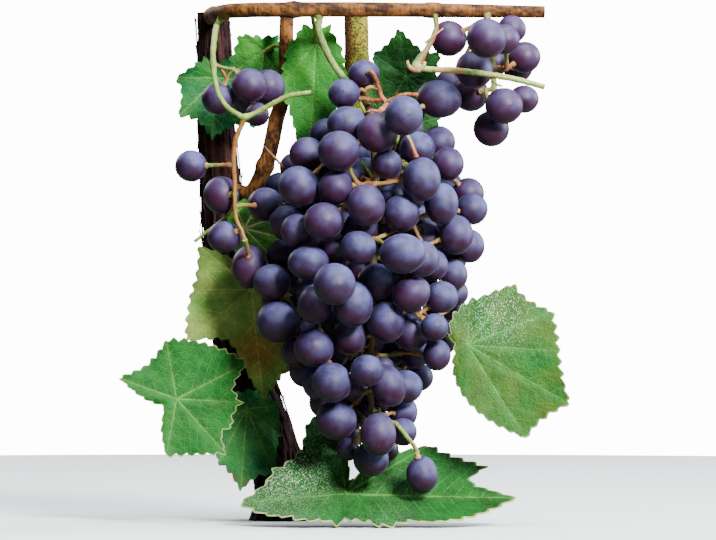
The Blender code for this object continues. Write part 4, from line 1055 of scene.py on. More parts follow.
class Look:
    """A Principled material while its nodes are being wired."""

    def __init__(self, name, **sockets):
        self.material = bpy.data.materials.new(name)
        self.material.use_nodes = True
        self.tree = self.material.node_tree
        self.shader = self.tree.nodes["Principled BSDF"]
        self.tint = self.node("Attribute", {"attribute_name": "tint"})
        self.place = self.node("TexCoord").outputs["Object"]
        for name, value in sockets.items():
            self.feed(self.shader.inputs[name.replace("_", " ")], value)

    def feed(self, socket, value):
        """Links a node's output to a socket, or sets the socket to a plain value."""
        if isinstance(value, bpy.types.NodeSocket):
            self.tree.links.new(value, socket)
        else:
            socket.default_value = value

    def node(self, kind, settings=(), inputs=()):
        """A new shader node with its settings and its inputs."""
        made = self.tree.nodes.new("ShaderNode" + kind)
        for name, value in dict(settings).items():
            setattr(made, name, value)
        for name, value in dict(inputs).items():
            self.feed(made.inputs[name], value)
        return made

    def noise(self, size, given, wanted, detail=3, stretch=(1, 1, 1)):
        """Noise whose blotches are about size metres, spread from one range to another."""
        place = self.node("Mapping", {}, {"Vector": self.place, "Scale": stretch}).outputs[0]
        cloud = self.node("TexNoise", {}, {"Vector": place, "Scale": 1 / size, "Detail": detail})
        return self.spread(cloud.outputs[0], given, wanted)

    def spread(self, value, given, wanted):
        """The value, moved from the range given to the range wanted."""
        ends = {"Value": value, "From Min": given[0], "From Max": given[1]}
        ends |= {"To Min": wanted[0], "To Max": wanted[1]}
        return self.node("MapRange", {}, ends).outputs[0]

    def cells(self, size, feature):
        """Distances in a pattern of cells about size metres wide."""
        ends = {"Vector": self.place, "Scale": 1 / size}
        return self.node("TexVoronoi", {"feature": feature}, ends).outputs["Distance"]

    def times(self, one, other):
        """The product of two values."""
        return self.node("Math", {"operation": "MULTIPLY"}, {0: one, 1: other}).outputs[0]

    def blend(self, share, one, other, kind="MIX"):
        """Two colours mixed. The Mix node has its colours at sockets 6 and 7, and gives 2."""
        settings = {"data_type": "RGBA", "blend_type": kind}
        return self.node("Mix", settings, {0: share, 6: one, 7: other}).outputs[2]

    def finish(self, colour, roughness, heights):
        """Wires colour and roughness, and (height, metres) pairs one over another as bumps."""
        self.feed(self.shader.inputs["Base Color"], colour)
        self.feed(self.shader.inputs["Roughness"], roughness)
        normal = None
        for height, metres in heights:
            bump = self.node("Bump", {}, {"Height": height, "Distance": metres})
            if normal:
                self.feed(bump.inputs["Normal"], normal)
            normal = bump.outputs[0]
        if normal:
            self.feed(self.shader.inputs["Normal"], normal)
        return self.material


def berry_look():
    """Dark skin under a pale powdery coat, which is rubbed thin in places. The coat's share
    comes from the tint's alpha, which also holds painted light on the side towards the lights,
    and the tint's colour holds painted shade on the lower part.
    """
    sheen = dict(Sheen_Weight=0.12, Sheen_Tint=(0.45, 0.55, 1, 1), Sheen_Roughness=0.3)
    look = Look("berry skin", Specular_IOR_Level=0.38, **sheen)
    patches = look.noise(0.006, (0.36, 0.66), (0.45, 1.15), 4)
    grain = look.noise(0.0007, (0.3, 0.7), (0.8, 1.2), 2)
    # The tint's alpha carries painted light on the side towards the lights.
    wax_with_painted_light = look.times(look.times(patches, grain), look.tint.outputs["Alpha"])
    dots = look.spread(look.cells(0.0016, "F1"), (0.1, 0.16), (0.55, 0))
    skin = look.blend(dots, look.tint.outputs["Color"], (0.05, 0.035, 0.07, 1))
    colour = look.blend(wax_with_painted_light, skin, BLOOM)
    return look.finish(colour, look.spread(wax_with_painted_light, (0, 0.6), (0.44, 0.66)), [(grain, 0.00003)])


def stem_look():
    """Streaks along the stem, and fine brown warts."""
    look = Look("green stem")
    streaks = look.noise(0.0012, (0.3, 0.7), (0.72, 1.2), 4, stretch=(1, 1, 0.3))
    warts = look.spread(look.cells(0.0011, "F1"), (0.1, 0.3), (1, 0))
    shaded = look.blend(1, look.tint.outputs["Color"], streaks, "MULTIPLY")
    colour = look.blend(look.times(warts, 0.45), shaded, (0.16, 0.08, 0.03, 1))
    return look.finish(colour, 0.5, [(streaks, 0.0001), (warts, 0.00012)])


def bark_look(name, fibre, depth, roughness):
    """Upright fibres, fibre metres wide and depth metres deep, with specks between them."""
    look = Look(name, Specular_IOR_Level=0.12)
    fibres = look.noise(fibre, (0.28, 0.72), (0.45, 1.45), 5, stretch=(1, 1, 0.09))
    specks = look.noise(fibre * 0.8, (0.35, 0.65), (0.75, 1.2))
    shaded = look.blend(1, look.tint.outputs["Color"], fibres, "MULTIPLY")
    colour = look.blend(1, shaded, specks, "MULTIPLY")
    return look.finish(colour, roughness, [(fibres, depth), (specks, depth * 0.5)])


def leaf_look():
    """Green tissue between fine cross veins, with a scatter of painted glints, pale specks that
    stand in for shine off the glossy blade, where alpha says.
    """
    look = Look("leaf", Specular_IOR_Level=0.16)
    shade = look.noise(0.009, (0.3, 0.7), (0.78, 1.22), 4)
    pores = look.noise(0.0006, (0.3, 0.7), (0.88, 1.12), 2)
    net = look.spread(look.cells(0.0032, "DISTANCE_TO_EDGE"), (0.02, 0.12), (1, 0))
    painted_glints = look.noise(0.00075, (0.57, 0.62), (0, 1), stretch=(1.5, 1, 1))
    toned = look.blend(1, look.tint.outputs["Color"], look.times(shade, pores), "MULTIPLY")
    netted = look.blend(look.times(net, 0.16), toned, (0.10, 0.25, 0.03, 1))
    # Pale specks where alpha says are painted glints.
    painted_glare = look.times(painted_glints, look.tint.outputs["Alpha"])
    colour = look.blend(painted_glare, netted, (0.70, 0.78, 0.6, 1))
    heights = [(net, -0.00012), (shade, 0.0004), (pores, 0.00003)]
    return look.finish(colour, look.spread(pores, (0.88, 1.12), (0.56, 0.7)), heights)


def lichen_look():
    """Crumbly lichen with dark specks all over."""
    look = Look("lichen", Specular_IOR_Level=0.2)
    crumbs = look.noise(0.0006, (0.3, 0.7), (0.62, 1.3))
    specks = look.noise(0.0011, (0.47, 0.58), (0, 0.85))
    shaded = look.blend(1, look.tint.outputs["Color"], crumbs, "MULTIPLY")
    colour = look.blend(specks, shaded, LICHEN_SPECK)
    return look.finish(colour, 0.9, [(crumbs, 0.0002), (specks, -0.00025)])


# ---------------------------------------------------------------- meshes


def put(name, data):
    """A new object in the scene."""
    made = bpy.data.objects.new(name, data)
    bpy.context.scene.collection.objects.link(made)
    return made


class Shell:
    """One piece while it is made: points, faces and each point's colour, in drawing units."""

    def __init__(self):
        self.points, self.faces, self.tints = [], [], []

    def add(self, points, faces, tints):
        """Adds a mesh whose faces count its own points from 0."""
        start = len(self.points)
        self.points += points
        self.tints += tints
        self.faces += [[start + corner for corner in face] for face in faces]

    def make(self, name, look, slot, *nodes):
        """Turns the shell into a piece of the scene that stands in for these nodes."""
        mesh = bpy.data.meshes.new(name)
        mesh.from_pydata([point * UNIT for point in self.points], [], self.faces)
        colours = mesh.color_attributes.new("tint", "FLOAT_COLOR", "POINT")
        colours.data.foreach_set("color", [value for tint in self.tints for value in tint])
        mesh.shade_smooth()
        mesh.set_sharp_from_angle(angle=math.radians(SHARP_ANGLE))
        mesh.materials.append(look)
        piece = put(name, mesh)
        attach(piece, "root")
        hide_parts(*nodes)


def dense(line, step):
    """The same middle line on a smooth curve, with a point about every step."""
    curve = smooth(line, CURVE_PIECES)
    found = [curve[0]]
    for place, radius in curve[1:]:
        if (place - found[-1][0]).length >= step:
            found.append((place, radius))
    found[-1] = curve[-1]
    return found


def rooted(line, sink, flare):
    """The line begun deeper by sink, inside what carries it, with a flared foot."""
    (first, radius), (second, _) = line[:2]
    back = (first - second).normalized() * sink
    return [(first + back, radius * flare), (first, radius * (1 + flare) / 2), *line[1:]]


def wall(rings, sides, first=0):
    """Faces between rings of points that follow one another from number first on."""
    faces = []
    for low in range(first, first + (rings - 1) * sides, sides):
        for turn in range(sides):
            beside = (turn + 1) % sides
            faces.append((low + turn, low + beside, low + sides + beside, low + sides + turn))
    return faces


def flat_ends(rings, sides):
    """The first and the last ring of a wall as faces that look outwards."""
    last = (rings - 1) * sides
    return [tuple(range(sides - 1, -1, -1)), tuple(range(last, last + sides))]


def tube(shell, line, sides, tint, relief, cut=None):
    """A closed tube round a middle line, with its ends coloured by cut, or by tint.

    tint(place, deep, out) gives a point's colour, and relief(place, out, radius, at) how deep
    it lies under the plain tube, where at is the distance along the line.
    """
    places = [place for place, _ in line]
    before, after = [places[0], *places[:-1]], [*places[1:], places[-1]]
    ways = [(b - a).normalized() for a, b in zip(before, after)]
    side = ways[0].orthogonal().normalized()
    points, tints, at = [], [], 0
    for number, (place, radius) in enumerate(line):
        at += (place - before[number]).length
        side = (side - ways[number] * side.dot(ways[number])).normalized()
        other = ways[number].cross(side)
        for turn in range(sides):
            angle = 2 * math.pi * turn / sides
            out = side * math.cos(angle) + other * math.sin(angle)
            deep = relief(place, out, radius, at)
            points.append(place + out * (radius - deep))
            tints.append(tint(points[-1], deep, out))
    shell.add(points, wall(len(line), sides), tints)
    cap(shell, points[:sides], places[0], True, cut or tint)
    cap(shell, points[-sides:], places[-1], False, cut or tint)


def cap(shell, rim_points, middle, turned, tint):
    """Closes a tube's end with rings that narrow to the middle."""
    count = len(rim_points)
    points = [middle.lerp(point, share) for share in CAP_RINGS for point in rim_points]
    points.append(middle)
    top = len(points) - 1
    inner = top - count
    faces = wall(len(CAP_RINGS), count)
    faces += [(inner + turn, inner + (turn + 1) % count, top) for turn in range(count)]
    if turned:
        faces = [face[::-1] for face in faces]
    shell.add(points, faces, [tint(point, 0, point - middle) for point in points])


# ---------------------------------------------------------------- berries and their twigs


def berry_template():
    """A unit ball's points and faces, with close rings at both poles. Its north pole is +Z."""
    points = [Vector((0, 0, 1))]
    for angle in BALL_RINGS:
        height, across = polar(angle)
        for turn in range(BALL_SIDES):
            points.append(Vector((*polar(360 * turn / BALL_SIDES, across), height)))
    points.append(Vector((0, 0, -1)))
    last = len(points) - 1
    low = last - BALL_SIDES
    faces = [(a, d, c, b) for a, b, c, d in wall(len(BALL_RINGS), BALL_SIDES, 1)]
    for turn in range(BALL_SIDES):
        beside = (turn + 1) % BALL_SIDES
        faces += [(0, 1 + turn, 1 + beside), (last, low + beside, low + turn)]
    return points, faces


def skin_edge(berry, way):
    """Distance from the berry's centre to its skin along a unit vector."""
    along = way.dot(berry.axis) ** 2
    return 1 / math.sqrt(along / berry.long**2 + (1 - along) / berry.short**2)


def berry_shape(shell, berry, template, bunch_wax_for_shade, rng):
    """A berry with a dimple at its stalk and a small dry scar at the other end. Its colours
    hold painted light on the side towards the lights, and painted shade on its lower part and
    on bunches that get less of the pale coat.
    """
    points, faces = template
    stalk = (berry.route[-1] - berry.centre).normalized()
    turn = stalk.to_track_quat("Z", "Y").to_matrix()
    seed = Vector((rng.uniform(0, 99), rng.uniform(0, 99), rng.uniform(0, 99)))
    wax_with_painted_light = bunch_wax_for_shade * (1 - 0.5 * rng.random() ** 1.5)
    skin = mix(SKIN_BLUE, SKIN_RED, 2 * (1 - wax_with_painted_light))
    made, tints = [], []
    for point in points:
        way = turn @ point
        size = skin_edge(berry, way) * (1 + 0.012 * noise.noise(way * 1.6 + seed))
        size -= DIMPLE * fading(1 - point.z, DIMPLE_WIDTH)
        scar = fading(1 + point.z, SCAR_WIDTH)
        made.append(berry.centre + way * (size + SCAR_RISE * scar))
        rubbed = WAX_BLOTCHES * noise.noise(way * 2.2 + seed * 2)
        # More wax on the side towards the lights is painted light.
        bloom_with_painted_light = wax_with_painted_light * (WAX_BASE + WAX_PAINTED_LIGHT * max(0, way.dot(PAINTED_LIGHT_SIDE)) ** 1.3 + rubbed)
        bloom_with_painted_light *= 1 - fading(1 - point.z, BARE_WIDTH)
        # The lower part turns dark maroon: painted shade.
        under = mix(skin, SKIN_UNDER_SHADE, 0.55 - 1.1 * (way.z + 0.35))
        tone = mix(under, SCAR, scar)
        tints.append((*tone, max(LEAST_WAX, min(MOST_WAX, bloom_with_painted_light)) * (1 - scar)))
    shell.add(made, faces, tints)


def twig_tint(seed):
    """A twig's colour, which runs from green to straw and to rusty red along it."""
    def tint(place, deep, out):
        share = 0.5 + 0.9 * noise.noise(place / 26 + Vector((seed, 0, 0)))
        fine = 0.5 + noise.noise(place / 4)
        tone = mix(mix(TWIG_GREEN, TWIG_STRAW, 2 * share), TWIG_RED, 2 * share - 1)
        return (*mix(tone, TWIG_DARK, 0.25 * fine), 1)
    return tint


def shoot_tint(name):
    """A shoot's colour: paler towards the light, and blushed here and there."""
    sunny, shaded, blush = SHOOT_COLOURS[name]

    def tint(place, deep, out):
        tone = mix(shaded, sunny, 0.38 + 0.85 * out.dot(SUNNY))
        tone = mix(tone, blush, 2.2 * noise.noise(place / 24) + 0.6 * noise.noise(place / 5))
        if name == "bunch_stem":
            tone = mix(tone, STEM_BROWN, (STEM_TURNS - place.z) / 14)
        if name == "right_shoot":
            above = mix(BEND_OLIVE, BEND_RED, 1.6 * out.x - 0.3)
            tone = mix(tone, above, (place.z - BEND.z - 1) / 3)
        return (*tone, 1)
    return tint


def small_tint(tones, start, end):
    """Colours that follow one another from start to end, with fine darker blotches."""
    way = end - start

    def tint(place, deep, out):
        at = min(0.999, max(0, (place - start).dot(way) / way.length_squared)) * (len(tones) - 1)
        tone = mix(tones[int(at)], tones[int(at) + 1], at - int(at))
        return (*mix(tone, DRIED, 0.9 * noise.noise(place / 2.4) - 0.1), 1)
    return tint


def small_stems(shell, name):
    """The listed stems of one piece."""
    for piece, tones, rows in SMALL_STEMS:
        if piece == name:
            line = [(Vector(place), radius) for place, radius in rows]
            tint = small_tint(tones, line[0][0], line[-1][0])
            tube(shell, dense(line, SMALL_STEP), SMALL_SIDES, tint, warty)


def petiole_tint(place, deep, out):
    """Pale green, with a warmer side. Alpha is 0, because a petiole has no painted glints."""
    tone = mix(PETIOLE_GREEN, PETIOLE_WARM, 0.5 + noise.noise(place / 15) + 0.3 * out.z)
    return (*tone, 0)


def knobbly(place, out, radius, at):
    """Relief of a stem with low, slow bumps."""
    return -0.2 * radius * noise.noise(place / 3 + out)


def warty(place, out, radius, at):
    """Relief of a thin twig with small, higher bumps."""
    return -0.3 * radius * noise.noise(place / 1.8 + out)


def knotted(knots):
    """Relief of a stem that swells at its joints, listed as (place, height)."""
    def relief(place, out, radius, at):
        deep = knobbly(place, out, radius, at)
        for knot, height in knots:
            deep -= height * fading((place - knot).length, KNOT_WIDTH)
        return deep
    return relief


def pedicel(shell, berry, tint, rng):
    """A berry's stalk, a little bowed, which swells into the cushion that the berry sits on."""
    last = berry.route[-1]
    way = (last - berry.centre).normalized()
    skin = berry.centre + way * (skin_edge(berry, way) - SKIN_SINK)
    points = [*berry.route, skin]
    length = (points[-1] - points[-2]).length
    bow = Vector([rng.uniform(-1, 1) for _ in range(3)]) * STALK_BOW * length
    rows = [(point, STALK_RADIUS) for point in points[:-1]]
    first = (points[0] - points[1]).normalized() * STALK_SINK
    rows[0] = (points[0] + first, STALK_RADIUS * 1.25)
    if length > BOWED_STALK:
        rows.append((last.lerp(skin, 0.45) + bow, STALK_RADIUS * 0.92))
    if length > PLAIN_STALK:
        rows.append((skin + way * CUSHION_BEGINS, STALK_RADIUS))
    rows += [(skin + way * CUSHION_WIDEST, CUSHION_RADIUS), (skin, CUSHION_RADIUS * 0.92)]

    def swelling_tint(place, deep, out):
        near = 1.5 - (place - skin).length / 3.2
        return (*mix(tint(place, deep, out)[:3], CUSHION, near), 1)
    tube(shell, dense(rows, PEDICEL_STEP), PEDICEL_SIDES, swelling_tint, warty)


def fruit(name, berries, first, template, rng):
    """The berries of one lateral, and the twigs that bear them. first is its straight piece."""
    skins, twigs = Shell(), Shell()
    tint = twig_tint(rng.uniform(0, 50))
    if first:
        start, end, radius = first
        way = (end - start).normalized()
        foot = (start - way * LATERAL_SINK, radius * 2)
        rows = [foot, (start + way, radius * 1.5), (end, radius * 1.1)]
        tube(twigs, dense(rows, LATERAL_STEP), LATERAL_SIDES, tint, knobbly)
    # Bunches that get less wax are darker: painted shade.
    bunch_wax_for_shade = SHADED_BUNCH_WAX.get(name.split("_")[0], 1)
    for berry in berries:
        stalk = OWN_STALKS.get((round(berry.centre.x), round(berry.centre.z)))
        own = tint
        if stalk:
            berry.route = [Vector(place) for place in stalk]
            own = small_tint(OWN_TONES, berry.route[0], berry.route[-1])
        berry_shape(skins, berry, template, bunch_wax_for_shade, rng)
        pedicel(twigs, berry, own, rng)
    return skins, twigs


# ---------------------------------------------------------------- wood


def rough_bark(place, out, radius, at):
    """Depth of a trunk's bark: long fissures between flat strips, over slow flutes."""
    wide = Vector((out.x * 1.2, out.y * 1.2, at / 90))
    narrow = Vector((out.x * 4.2, out.y * 4.2, at / 48))
    fine = Vector((out.x * 11, out.y * 11, at / 26))
    flute = 0.07 * radius * noise.noise(wide)
    ridge = abs(noise.noise(narrow)) + 0.5 * abs(noise.noise(fine))
    return flute + FISSURE * fading(ridge, FISSURE_WIDTH) - 0.6 * noise.noise(place / 3)


def cane_relief(swellings):
    """Depth of a cane's bark: fine grooves, and a swelling at each joint."""
    def relief(place, out, radius, at):
        groove = Vector((out.x * 5, out.y * 5, (place.x + place.z) / 60))
        deep = 0.05 * radius * abs(noise.noise(groove)) + 0.1 * noise.noise(place / 5)
        for middle in swellings:
            deep -= 0.22 * radius * fading(at - middle, JOINT_WIDTH)
        return deep
    return relief


def crust(place, out, radius, at):
    """Lichen: flat crumbs that stand on the bark where the slow noise is high."""
    patch = noise.noise(place / 17) + 0.35 * noise.noise(place / 5)
    crumbs = max(0.25, 0.5 + noise.noise(place / 1.9))
    lift = min(1.5, max(0, patch + 0.12) * 2.6)
    groove = Vector((out.x * 5, out.y * 5, at / 50))
    return 0.4 * abs(noise.noise(groove)) - lift * crumbs


def bark_tint(place, deep, out):
    """Red and grey old bark, with painted shade that is darkest in its fissures."""
    share = deep / FISSURE
    tone = mix(BARK_RED, BARK_GREY, 0.35 + 0.8 * noise.noise(place / 22))
    return (*mix(tone, BARK_FISSURE_SHADE, 0.15 + 0.85 * share), 1)


def cane_tint(place, deep, out):
    """Orange-brown bark with dark patches."""
    patch = 0.5 + 1.3 * noise.noise(place / 12) + 0.9 * noise.noise(place / 3.5)
    return (*mix(CANE_ORANGE, CANE_DARK, patch), 1)


def lichen_tint(place, deep, out):
    """Yellow lichen with bark between its crumbs, and bare bark along the left side."""
    bare = 1.6 * noise.noise(place / 2.2) + 0.8 * noise.noise(place / 9) - 0.1
    bare = max(bare, -2.2 * out.x - 0.4 + 0.7 * noise.noise(place / 8))
    tone = mix(LICHEN_YELLOW, LICHEN_GREEN, 0.4 + noise.noise(place / 11))
    return (*mix(tone, LICHEN_BARK, bare), 1)


def wood_cut(place, deep, out):
    """Growth rings on a cut, round its middle."""
    ring = 0.5 + 0.5 * math.sin(2.4 * out.length)
    return (*mix(CUT_PALE, CUT_DARK, 0.5 * ring + 0.3 * noise.noise(place / 2)), 1)


def bark_strip(line, rng):
    """Points of one loose strip: its section at every step, lifted and narrower at both ends."""
    start, length = rng.uniform(0.06, 0.82), rng.uniform(0.09, 0.26)
    angle, drift = rng.uniform(0, 2 * math.pi), rng.uniform(-0.25, 0.25)
    width, lift = rng.uniform(2.2, 5.5), rng.uniform(0.8, 4)
    points = []
    for step in range(STRIP_STEPS + 1):
        share = step / STRIP_STEPS
        to_end = abs(2 * share - 1)
        place, radius, way = along_line(line, min(0.99, start + length * share))
        turn = angle + drift * share
        side = way.cross(Vector((0, 1, 0))).normalized()
        out = side * math.cos(turn) + way.cross(side) * math.sin(turn)
        across = way.cross(out)
        rise = 0.5 + lift * to_end**5 + 0.4 * math.sin(9 * share + angle)
        half = width / 2 * (1 - 0.8 * to_end**4)
        for sideways, thick in STRIP_SECTION:
            points.append(place + out * (radius + rise + thick) + across * half * sideways)
    return points


def bark_strips(line, rng):
    """Loose strips of old bark that lie along the trunk."""
    shell = Shell()
    rings, sides = STRIP_STEPS + 1, len(STRIP_SECTION)
    faces = wall(rings, sides) + flat_ends(rings, sides)
    for _ in range(BARK_STRIPS):
        points = bark_strip(line, rng)
        tone = mix(BARK_GREY, BARK_PALE, rng.random())
        shell.add(points, faces, [(*mix(tone, BARK_RED, noise.noise(p / 9)), 1) for p in points])
    return shell


def wood(limbs, rng):
    """The trunk with its bark, and the three canes."""
    old = bark_look("old bark", fibre=0.0022, depth=0.0006, roughness=0.85)
    young = bark_look("cane bark", fibre=0.0012, depth=0.00018, roughness=0.6)
    lichen = lichen_look()
    shell = Shell()
    tube(shell, dense(limbs["trunk"], TRUNK_STEP), TRUNK_SIDES, bark_tint, rough_bark, wood_cut)
    shell.make("trunk_bark", old, "bark", "trunk")
    bark_strips(limbs["trunk"], rng).make("trunk_strips", old, "bark", "trunk")
    for name, joints in (("fruiting_cane", CANE_JOINTS), ("brown_cane", BROWN_JOINTS)):
        shell = Shell()
        line = rooted(dense(limbs[name], CANE_STEP), CANE_SINK, CANE_FLARE)
        tube(shell, line, CANE_SIDES, cane_tint, cane_relief(joints), wood_cut)
        shell.make(f"{name}_bark", young, "bark", name)
    shell = Shell()
    line = rooted(dense(limbs["lichen_cane"], LICHEN_STEP), LICHEN_SINK, LICHEN_FLARE)
    tube(shell, line, LICHEN_SIDES, lichen_tint, crust, wood_cut)
    shell.make("lichen_cane_bark", lichen, "lichen_bark", "lichen_cane")


# ---------------------------------------------------------------- leaves


def angle_between(one, other):
    """The angle between two directions, in degrees."""
    return abs((one - other + 180) % 360 - 180)


def main_veins(tips):
    """Lobes that a main vein runs into: the long ones, well apart."""
    longest = max(tip[1] for tip in tips)
    found = []
    for angle, reach, _ in sorted(tips, key=lambda tip: -tip[1]):
        apart = all(angle_between(angle, other) > VEINS_APART for other, _ in found)
        if reach > VEIN_LEAST * longest and apart:
            found.append((angle, reach))
    return found


class Blade:
    """The surface of a leaf: where each point of its flat drawing lies in space."""

    def __init__(self, leaf, number):
        self.leaf = leaf
        self.tips = leaf["tips"]
        self.number = number
        self.mains = main_veins(self.tips)
        self.longest = max(tip[1] for tip in self.tips)

    def from_vein(self, right, up):
        """Distance on the drawing to the nearest main vein."""
        least = self.longest
        for angle, reach in self.mains:
            x, z = polar(angle)
            along = min(reach, max(0, right * x + up * z))
            least = min(least, math.hypot(right - along * x, up - along * z))
        return least

    def facing(self, up):
        """The direction that the upper face looks to."""
        lean_right, lean_up, lean_down = self.leaf["lean"]
        share = 1 / (1 + math.exp(-up / CREASE))
        return Vector((lean_right, -1, lean_down + (lean_up - lean_down) * share)).normalized()

    def at(self, right, up, over):
        """A point of the crinkled blade, over units before its middle layer."""
        angle, reach = math.degrees(math.atan2(up, right)), math.hypot(right, up)
        share = min(1, reach / rim(self.tips, angle))
        lean_right, lean_up, lean_down = self.leaf["lean"]
        soft = CREASE * math.log(1 + math.exp(-abs(up) / CREASE))
        back = lean_right * right + lean_up * (max(up, 0) + soft) - lean_down * (max(-up, 0) + soft)
        back -= self.leaf["cup"] * (reach / self.longest) ** 2
        rise = WAVE * share**3 * math.sin(math.radians(WAVES_ROUND * angle) + self.number)
        for size, height in ((PUCKER_WIDE, PUCKER), (PUCKER_FINE, 0.5 * PUCKER)):
            rise += height * noise.noise(Vector((right / size, up / size, self.number)))
        rise -= VALLEY * fading(self.from_vein(right, up), VALLEY_WIDTH) * (1 - 0.5 * share)
        place = Vector(self.leaf["place"]) + Vector((right, back, up))
        return place + self.facing(up) * (rise + over)

    def rim_steps(self, rng):
        """The toothed rim: (angle, reach of the plain outline, what the tooth adds)."""
        coarse = [self.tips[0][0] + step * RIM_STEP for step in range(int(360 / RIM_STEP) + 1)]
        flat = [polar(angle, rim(self.tips, angle)) for angle in coarse]
        lengths = [0]
        for one, other in zip(flat, flat[1:]):
            lengths.append(lengths[-1] + math.dist(one, other))
        teeth = max(LEAST_TEETH, round(lengths[-1] / (TOOTH + self.longest / 30)))
        deep = TOOTH_DEPTH * lengths[-1] / teeth
        steps = []
        for tooth in range(teeth):
            size = deep * rng.uniform(0.6, 1.25)
            for step, height in enumerate(TOOTH_SHAPE):
                want = lengths[-1] * (tooth + step / len(TOOTH_SHAPE)) / teeth
                found = min(len(coarse) - 2, bisect.bisect_right(lengths, want) - 1)
                share = (want - lengths[found]) / max(1e-6, lengths[found + 1] - lengths[found])
                angle = coarse[found] + share * RIM_STEP
                steps.append((angle, rim(self.tips, angle), size * (height - TOOTH_MIDDLE)))
        return steps

    def secondary_veins(self):
        """Polylines that leave the main veins to both sides and stop at the rim or half way across."""
        found = []
        for angle, reach in self.mains:
            count = max(3, round(reach / VEIN_GAP))
            for number in range(1, count):
                for hand in (-1, 1):
                    start = polar(angle, reach * (number + 0.25 * hand) / count)
                    line = self.run(*start, angle, hand)
                    if len(line) > 2:
                        found.append(line)
        return found

    def run(self, x, z, angle, hand):
        """One secondary vein, stepped outwards until it comes near the rim or another main vein."""
        line = [(x, z)]
        heading = angle + hand * VEIN_ANGLE
        while len(line) < VEIN_POINTS:
            right, up = polar(heading, VEIN_STEP)
            x, z = x + right, z + up
            heading -= hand * VEIN_BEND
            own = math.degrees(math.atan2(z, x))
            others = [angle_between(own, other) for other, _ in self.mains if other != angle]
            strays = others and min(others) < angle_between(own, angle)
            if strays or math.hypot(x, z) > VEIN_REACH * rim(self.tips, own):
                break
            line.append((x, z))
        return line


def leaf_tint(name, blade, side, share, right, up):
    """Colour at a point of the drawing, with the share of painted glints. side is 1 on the upper face.
    """
    upper, other, vein, edge = LEAF_COLOURS[name]
    tone = mix(upper, other, 0.5 + noise.noise(Vector((right / 26, up / 26, blade.number + 9))))
    tone = mix(tone, vein, 0.3 * math.exp(-blade.from_vein(right, up) / 3))
    for x, z, size, brown in LEAF_SPOTS.get(name, ()):
        fall = math.hypot(right - x, up - z) / size
        tone = mix(tone, brown, 1.3 - fall - 0.5 * noise.noise(Vector((right / 5, up / 5, 3))))
    if side < 0:
        tone = mix(tone, LEAF_UNDER, 0.5)
    if share == 1:
        tone = mix(tone, edge, 0.75)
    # Pale specks on the upper face are painted glints.
    painted_glints = 0
    if side > 0:
        for x, z, size, much in LEAF_PAINTED_GLINTS.get(name, ()):
            painted_glints += much * fading(math.hypot(right - x, up - z), size)
    return (*tone, painted_glints)


def leaf_sheet(name, blade, steps, side):
    """One face of a blade: rings of points from its veins' meeting point out to the rim."""
    points, tints = [], []
    for share in LEAF_RINGS:
        for angle, reach, tooth in steps:
            right, up = polar(angle, max(LEAST_REACH, reach * share + tooth * share**8))
            points.append(blade.at(right, up, side * LEAF_HALF))
            tints.append(leaf_tint(name, blade, side, share, right, up))
    points.append(blade.at(0, 0, side * LEAF_HALF))
    tints.append((*LEAF_COLOURS[name][2], 0))
    return points, tints


def leaf_veins(shell, name, blade, steps):
    """Ridges along the main and the secondary veins, and along a pale rim."""
    upper, _, vein, edge = LEAF_COLOURS[name]
    for angle, reach in blade.mains:
        piece = VEIN_REACH * reach / VEIN_STEPS
        line = [polar(angle, piece * step) for step in range(VEIN_STEPS + 1)]
        vein_ridge(shell, blade, line, MAIN_VEIN * (0.7 + 0.5 * reach / blade.longest), vein)
    for line in blade.secondary_veins():
        vein_ridge(shell, blade, line, SIDE_VEIN, mix(vein, upper, 0.25))
    if edge == CREAM:
        line = []
        for angle, reach, tooth in steps + steps[:1]:
            line.append(polar(angle, max(LEAST_REACH, reach + tooth) - RIM_INSET))
        vein_ridge(shell, blade, line, PALE_RIM, edge, 0)


def leaf_shape(shell, name, number, rng):
    """The blade as a thin closed shell, with its veins as slim ridges on both faces."""
    blade = Blade(LEAVES[name], number)
    steps = blade.rim_steps(rng)
    front, front_tints = leaf_sheet(name, blade, steps, 1)
    rear, rear_tints = leaf_sheet(name, blade, steps, -1)
    rings, count, back = len(LEAF_RINGS), len(steps), len(front)
    outer = (rings - 1) * count
    faces = [(a, d, c, b) for a, b, c, d in wall(rings, count)]
    faces += [(back - 1, turn, (turn + 1) % count) for turn in range(count)]
    faces += [tuple(back + corner for corner in face[::-1]) for face in faces]
    for turn in range(count):
        near, beside = outer + turn, outer + (turn + 1) % count
        faces.append((near, back + near, back + beside, beside))
    shell.add(front + rear, faces, front_tints + rear_tints)
    leaf_veins(shell, name, blade, steps)


def vein_ridge(shell, blade, line, half, tone, taper=VEIN_TAPER):
    """A flattened tube that lies in the blade and stands a hair out of both faces."""
    points = []
    last = len(line) - 1
    for number, (x, z) in enumerate(line):
        before, after = line[max(0, number - 1)], line[min(last, number + 1)]
        long = max(1e-6, math.dist(before, after))
        across = (-(after[1] - before[1]) / long, (after[0] - before[0]) / long)
        width = half * (1 - taper * number / last)
        high = LEAF_HALF + RIDGE_OUT + RIDGE_ARCH * width
        for turn in range(RIDGE_SIDES):
            sideways, upwards = polar(360 * turn / RIDGE_SIDES)
            shift, over = width * sideways, high * upwards - RIDGE_BACK * width
            points.append(blade.at(x + across[0] * shift, z + across[1] * shift, over))
    faces = wall(len(line), RIDGE_SIDES) + flat_ends(len(line), RIDGE_SIDES)
    shell.add(points, faces, [(*tone, 0)] * len(points))


# ---------------------------------------------------------------- the stage


